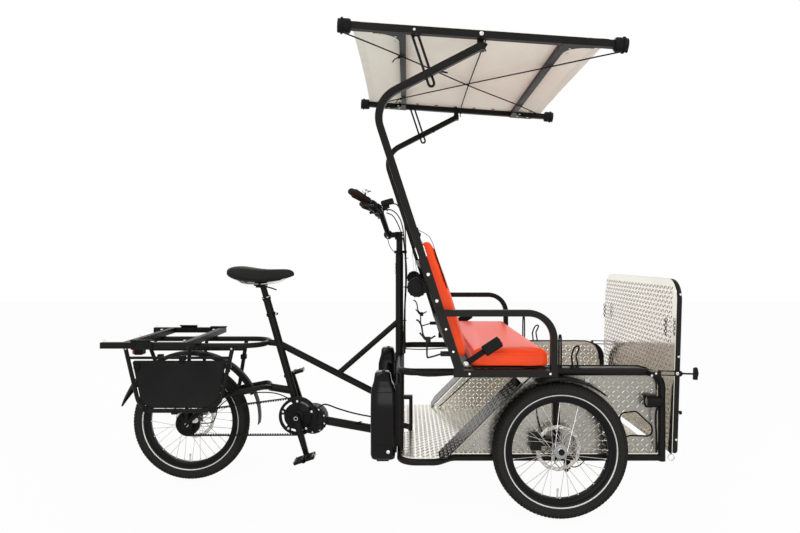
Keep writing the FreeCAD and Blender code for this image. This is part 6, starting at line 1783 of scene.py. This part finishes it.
class RICKSHAW_OT_tread(PieceMaker, bpy.types.Operator):
    """Raise the pattern on the tread plates"""

    bl_idname = "rickshaw.tread"
    bl_label = "Tread plate"
    make = staticmethod(make_tread)


class RICKSHAW_OT_cushions(PieceMaker, bpy.types.Operator):
    """Pad and cover the seat and back"""

    bl_idname = "rickshaw.cushions"
    bl_label = "Cushions"
    make = staticmethod(make_cushions)


class RICKSHAW_OT_bench(PieceMaker, bpy.types.Operator):
    """Make the bench's bolts, belts and holders"""

    bl_idname = "rickshaw.bench"
    bl_label = "Bench fittings"
    make = staticmethod(make_bench)


class RICKSHAW_OT_canopy(PieceMaker, bpy.types.Operator):
    """Stretch the canopy's cloth and fit its frame"""

    bl_idname = "rickshaw.canopy"
    bl_label = "Canopy"
    make = staticmethod(make_canopy)


class RICKSHAW_OT_controls(PieceMaker, bpy.types.Operator):
    """Make the grips, levers, bell, display and cables"""

    bl_idname = "rickshaw.controls"
    bl_label = "Handlebar"
    make = staticmethod(make_controls)


class RICKSHAW_OT_saddle(PieceMaker, bpy.types.Operator):
    """Make the saddle and its rails"""

    bl_idname = "rickshaw.saddle"
    bl_label = "Saddle"
    make = staticmethod(make_saddle)


class RICKSHAW_OT_drive(PieceMaker, bpy.types.Operator):
    """Make the belt, ring, motor and pedal details"""

    bl_idname = "rickshaw.drive"
    bl_label = "Drive"
    make = staticmethod(make_drive)


class RICKSHAW_OT_rack(PieceMaker, bpy.types.Operator):
    """Make the panniers, brackets, light and flap"""

    bl_idname = "rickshaw.rack"
    bl_label = "Rear rack"
    make = staticmethod(make_rack)


class RICKSHAW_OT_box(PieceMaker, bpy.types.Operator):
    """Make the box's strips, loops, lamps and hoses"""

    bl_idname = "rickshaw.box"
    bl_label = "Box"
    make = staticmethod(make_box)


class RICKSHAW_OT_gate(PieceMaker, bpy.types.Operator):
    """Make the gate's fittings"""

    bl_idname = "rickshaw.gate"
    bl_label = "Gate"
    make = staticmethod(make_gate)


class RICKSHAW_OT_batteries(PieceMaker, bpy.types.Operator):
    """Make the battery packs"""

    bl_idname = "rickshaw.batteries"
    bl_label = "Batteries"
    make = staticmethod(make_batteries)


class RICKSHAW_OT_frame_details(PieceMaker, bpy.types.Operator):
    """Make the clamp and bolts of the rear frame"""

    bl_idname = "rickshaw.frame_details"
    bl_label = "Frame details"
    make = staticmethod(make_frame_details)


class RICKSHAW_PT_panel(bpy.types.Panel):
    """Rickshaw tools"""

    bl_label = "Rickshaw"
    bl_idname = "RICKSHAW_PT_panel"
    bl_space_type = "VIEW_3D"
    bl_region_type = "UI"
    bl_category = "Rickshaw"

    def draw(self, context):
        settings = context.scene.rickshaw
        for part in (settings.stage, settings.colours, settings.sizes):
            for name in part.__annotations__:
                self.layout.prop(part, name)
        for operator in OPERATORS:
            self.layout.operator(operator.bl_idname)


OPERATORS = (RICKSHAW_OT_finishes, RICKSHAW_OT_stage, RICKSHAW_OT_tyres, RICKSHAW_OT_wheels,
    RICKSHAW_OT_rotors, RICKSHAW_OT_tread, RICKSHAW_OT_cushions, RICKSHAW_OT_bench, RICKSHAW_OT_canopy,
    RICKSHAW_OT_controls, RICKSHAW_OT_saddle, RICKSHAW_OT_drive, RICKSHAW_OT_rack, RICKSHAW_OT_box,
    RICKSHAW_OT_gate, RICKSHAW_OT_batteries, RICKSHAW_OT_frame_details)
CLASSES = (RickshawStage, RickshawColours, RickshawSizes,
    RickshawSettings) + OPERATORS + (RICKSHAW_PT_panel,)


def register():
    for cls in CLASSES:
        bpy.utils.register_class(cls)
    bpy.types.Scene.rickshaw = PointerProperty(type=RickshawSettings)


def unregister():
    del bpy.types.Scene.rickshaw
    for cls in reversed(CLASSES):
        bpy.utils.unregister_class(cls)


def main():
    """Register the tools and make every piece."""
    register()
    for operator in OPERATORS:
        group, call = operator.bl_idname.split(".")
        getattr(getattr(bpy.ops, group), call)()


if __name__ == "__main__":
    main()
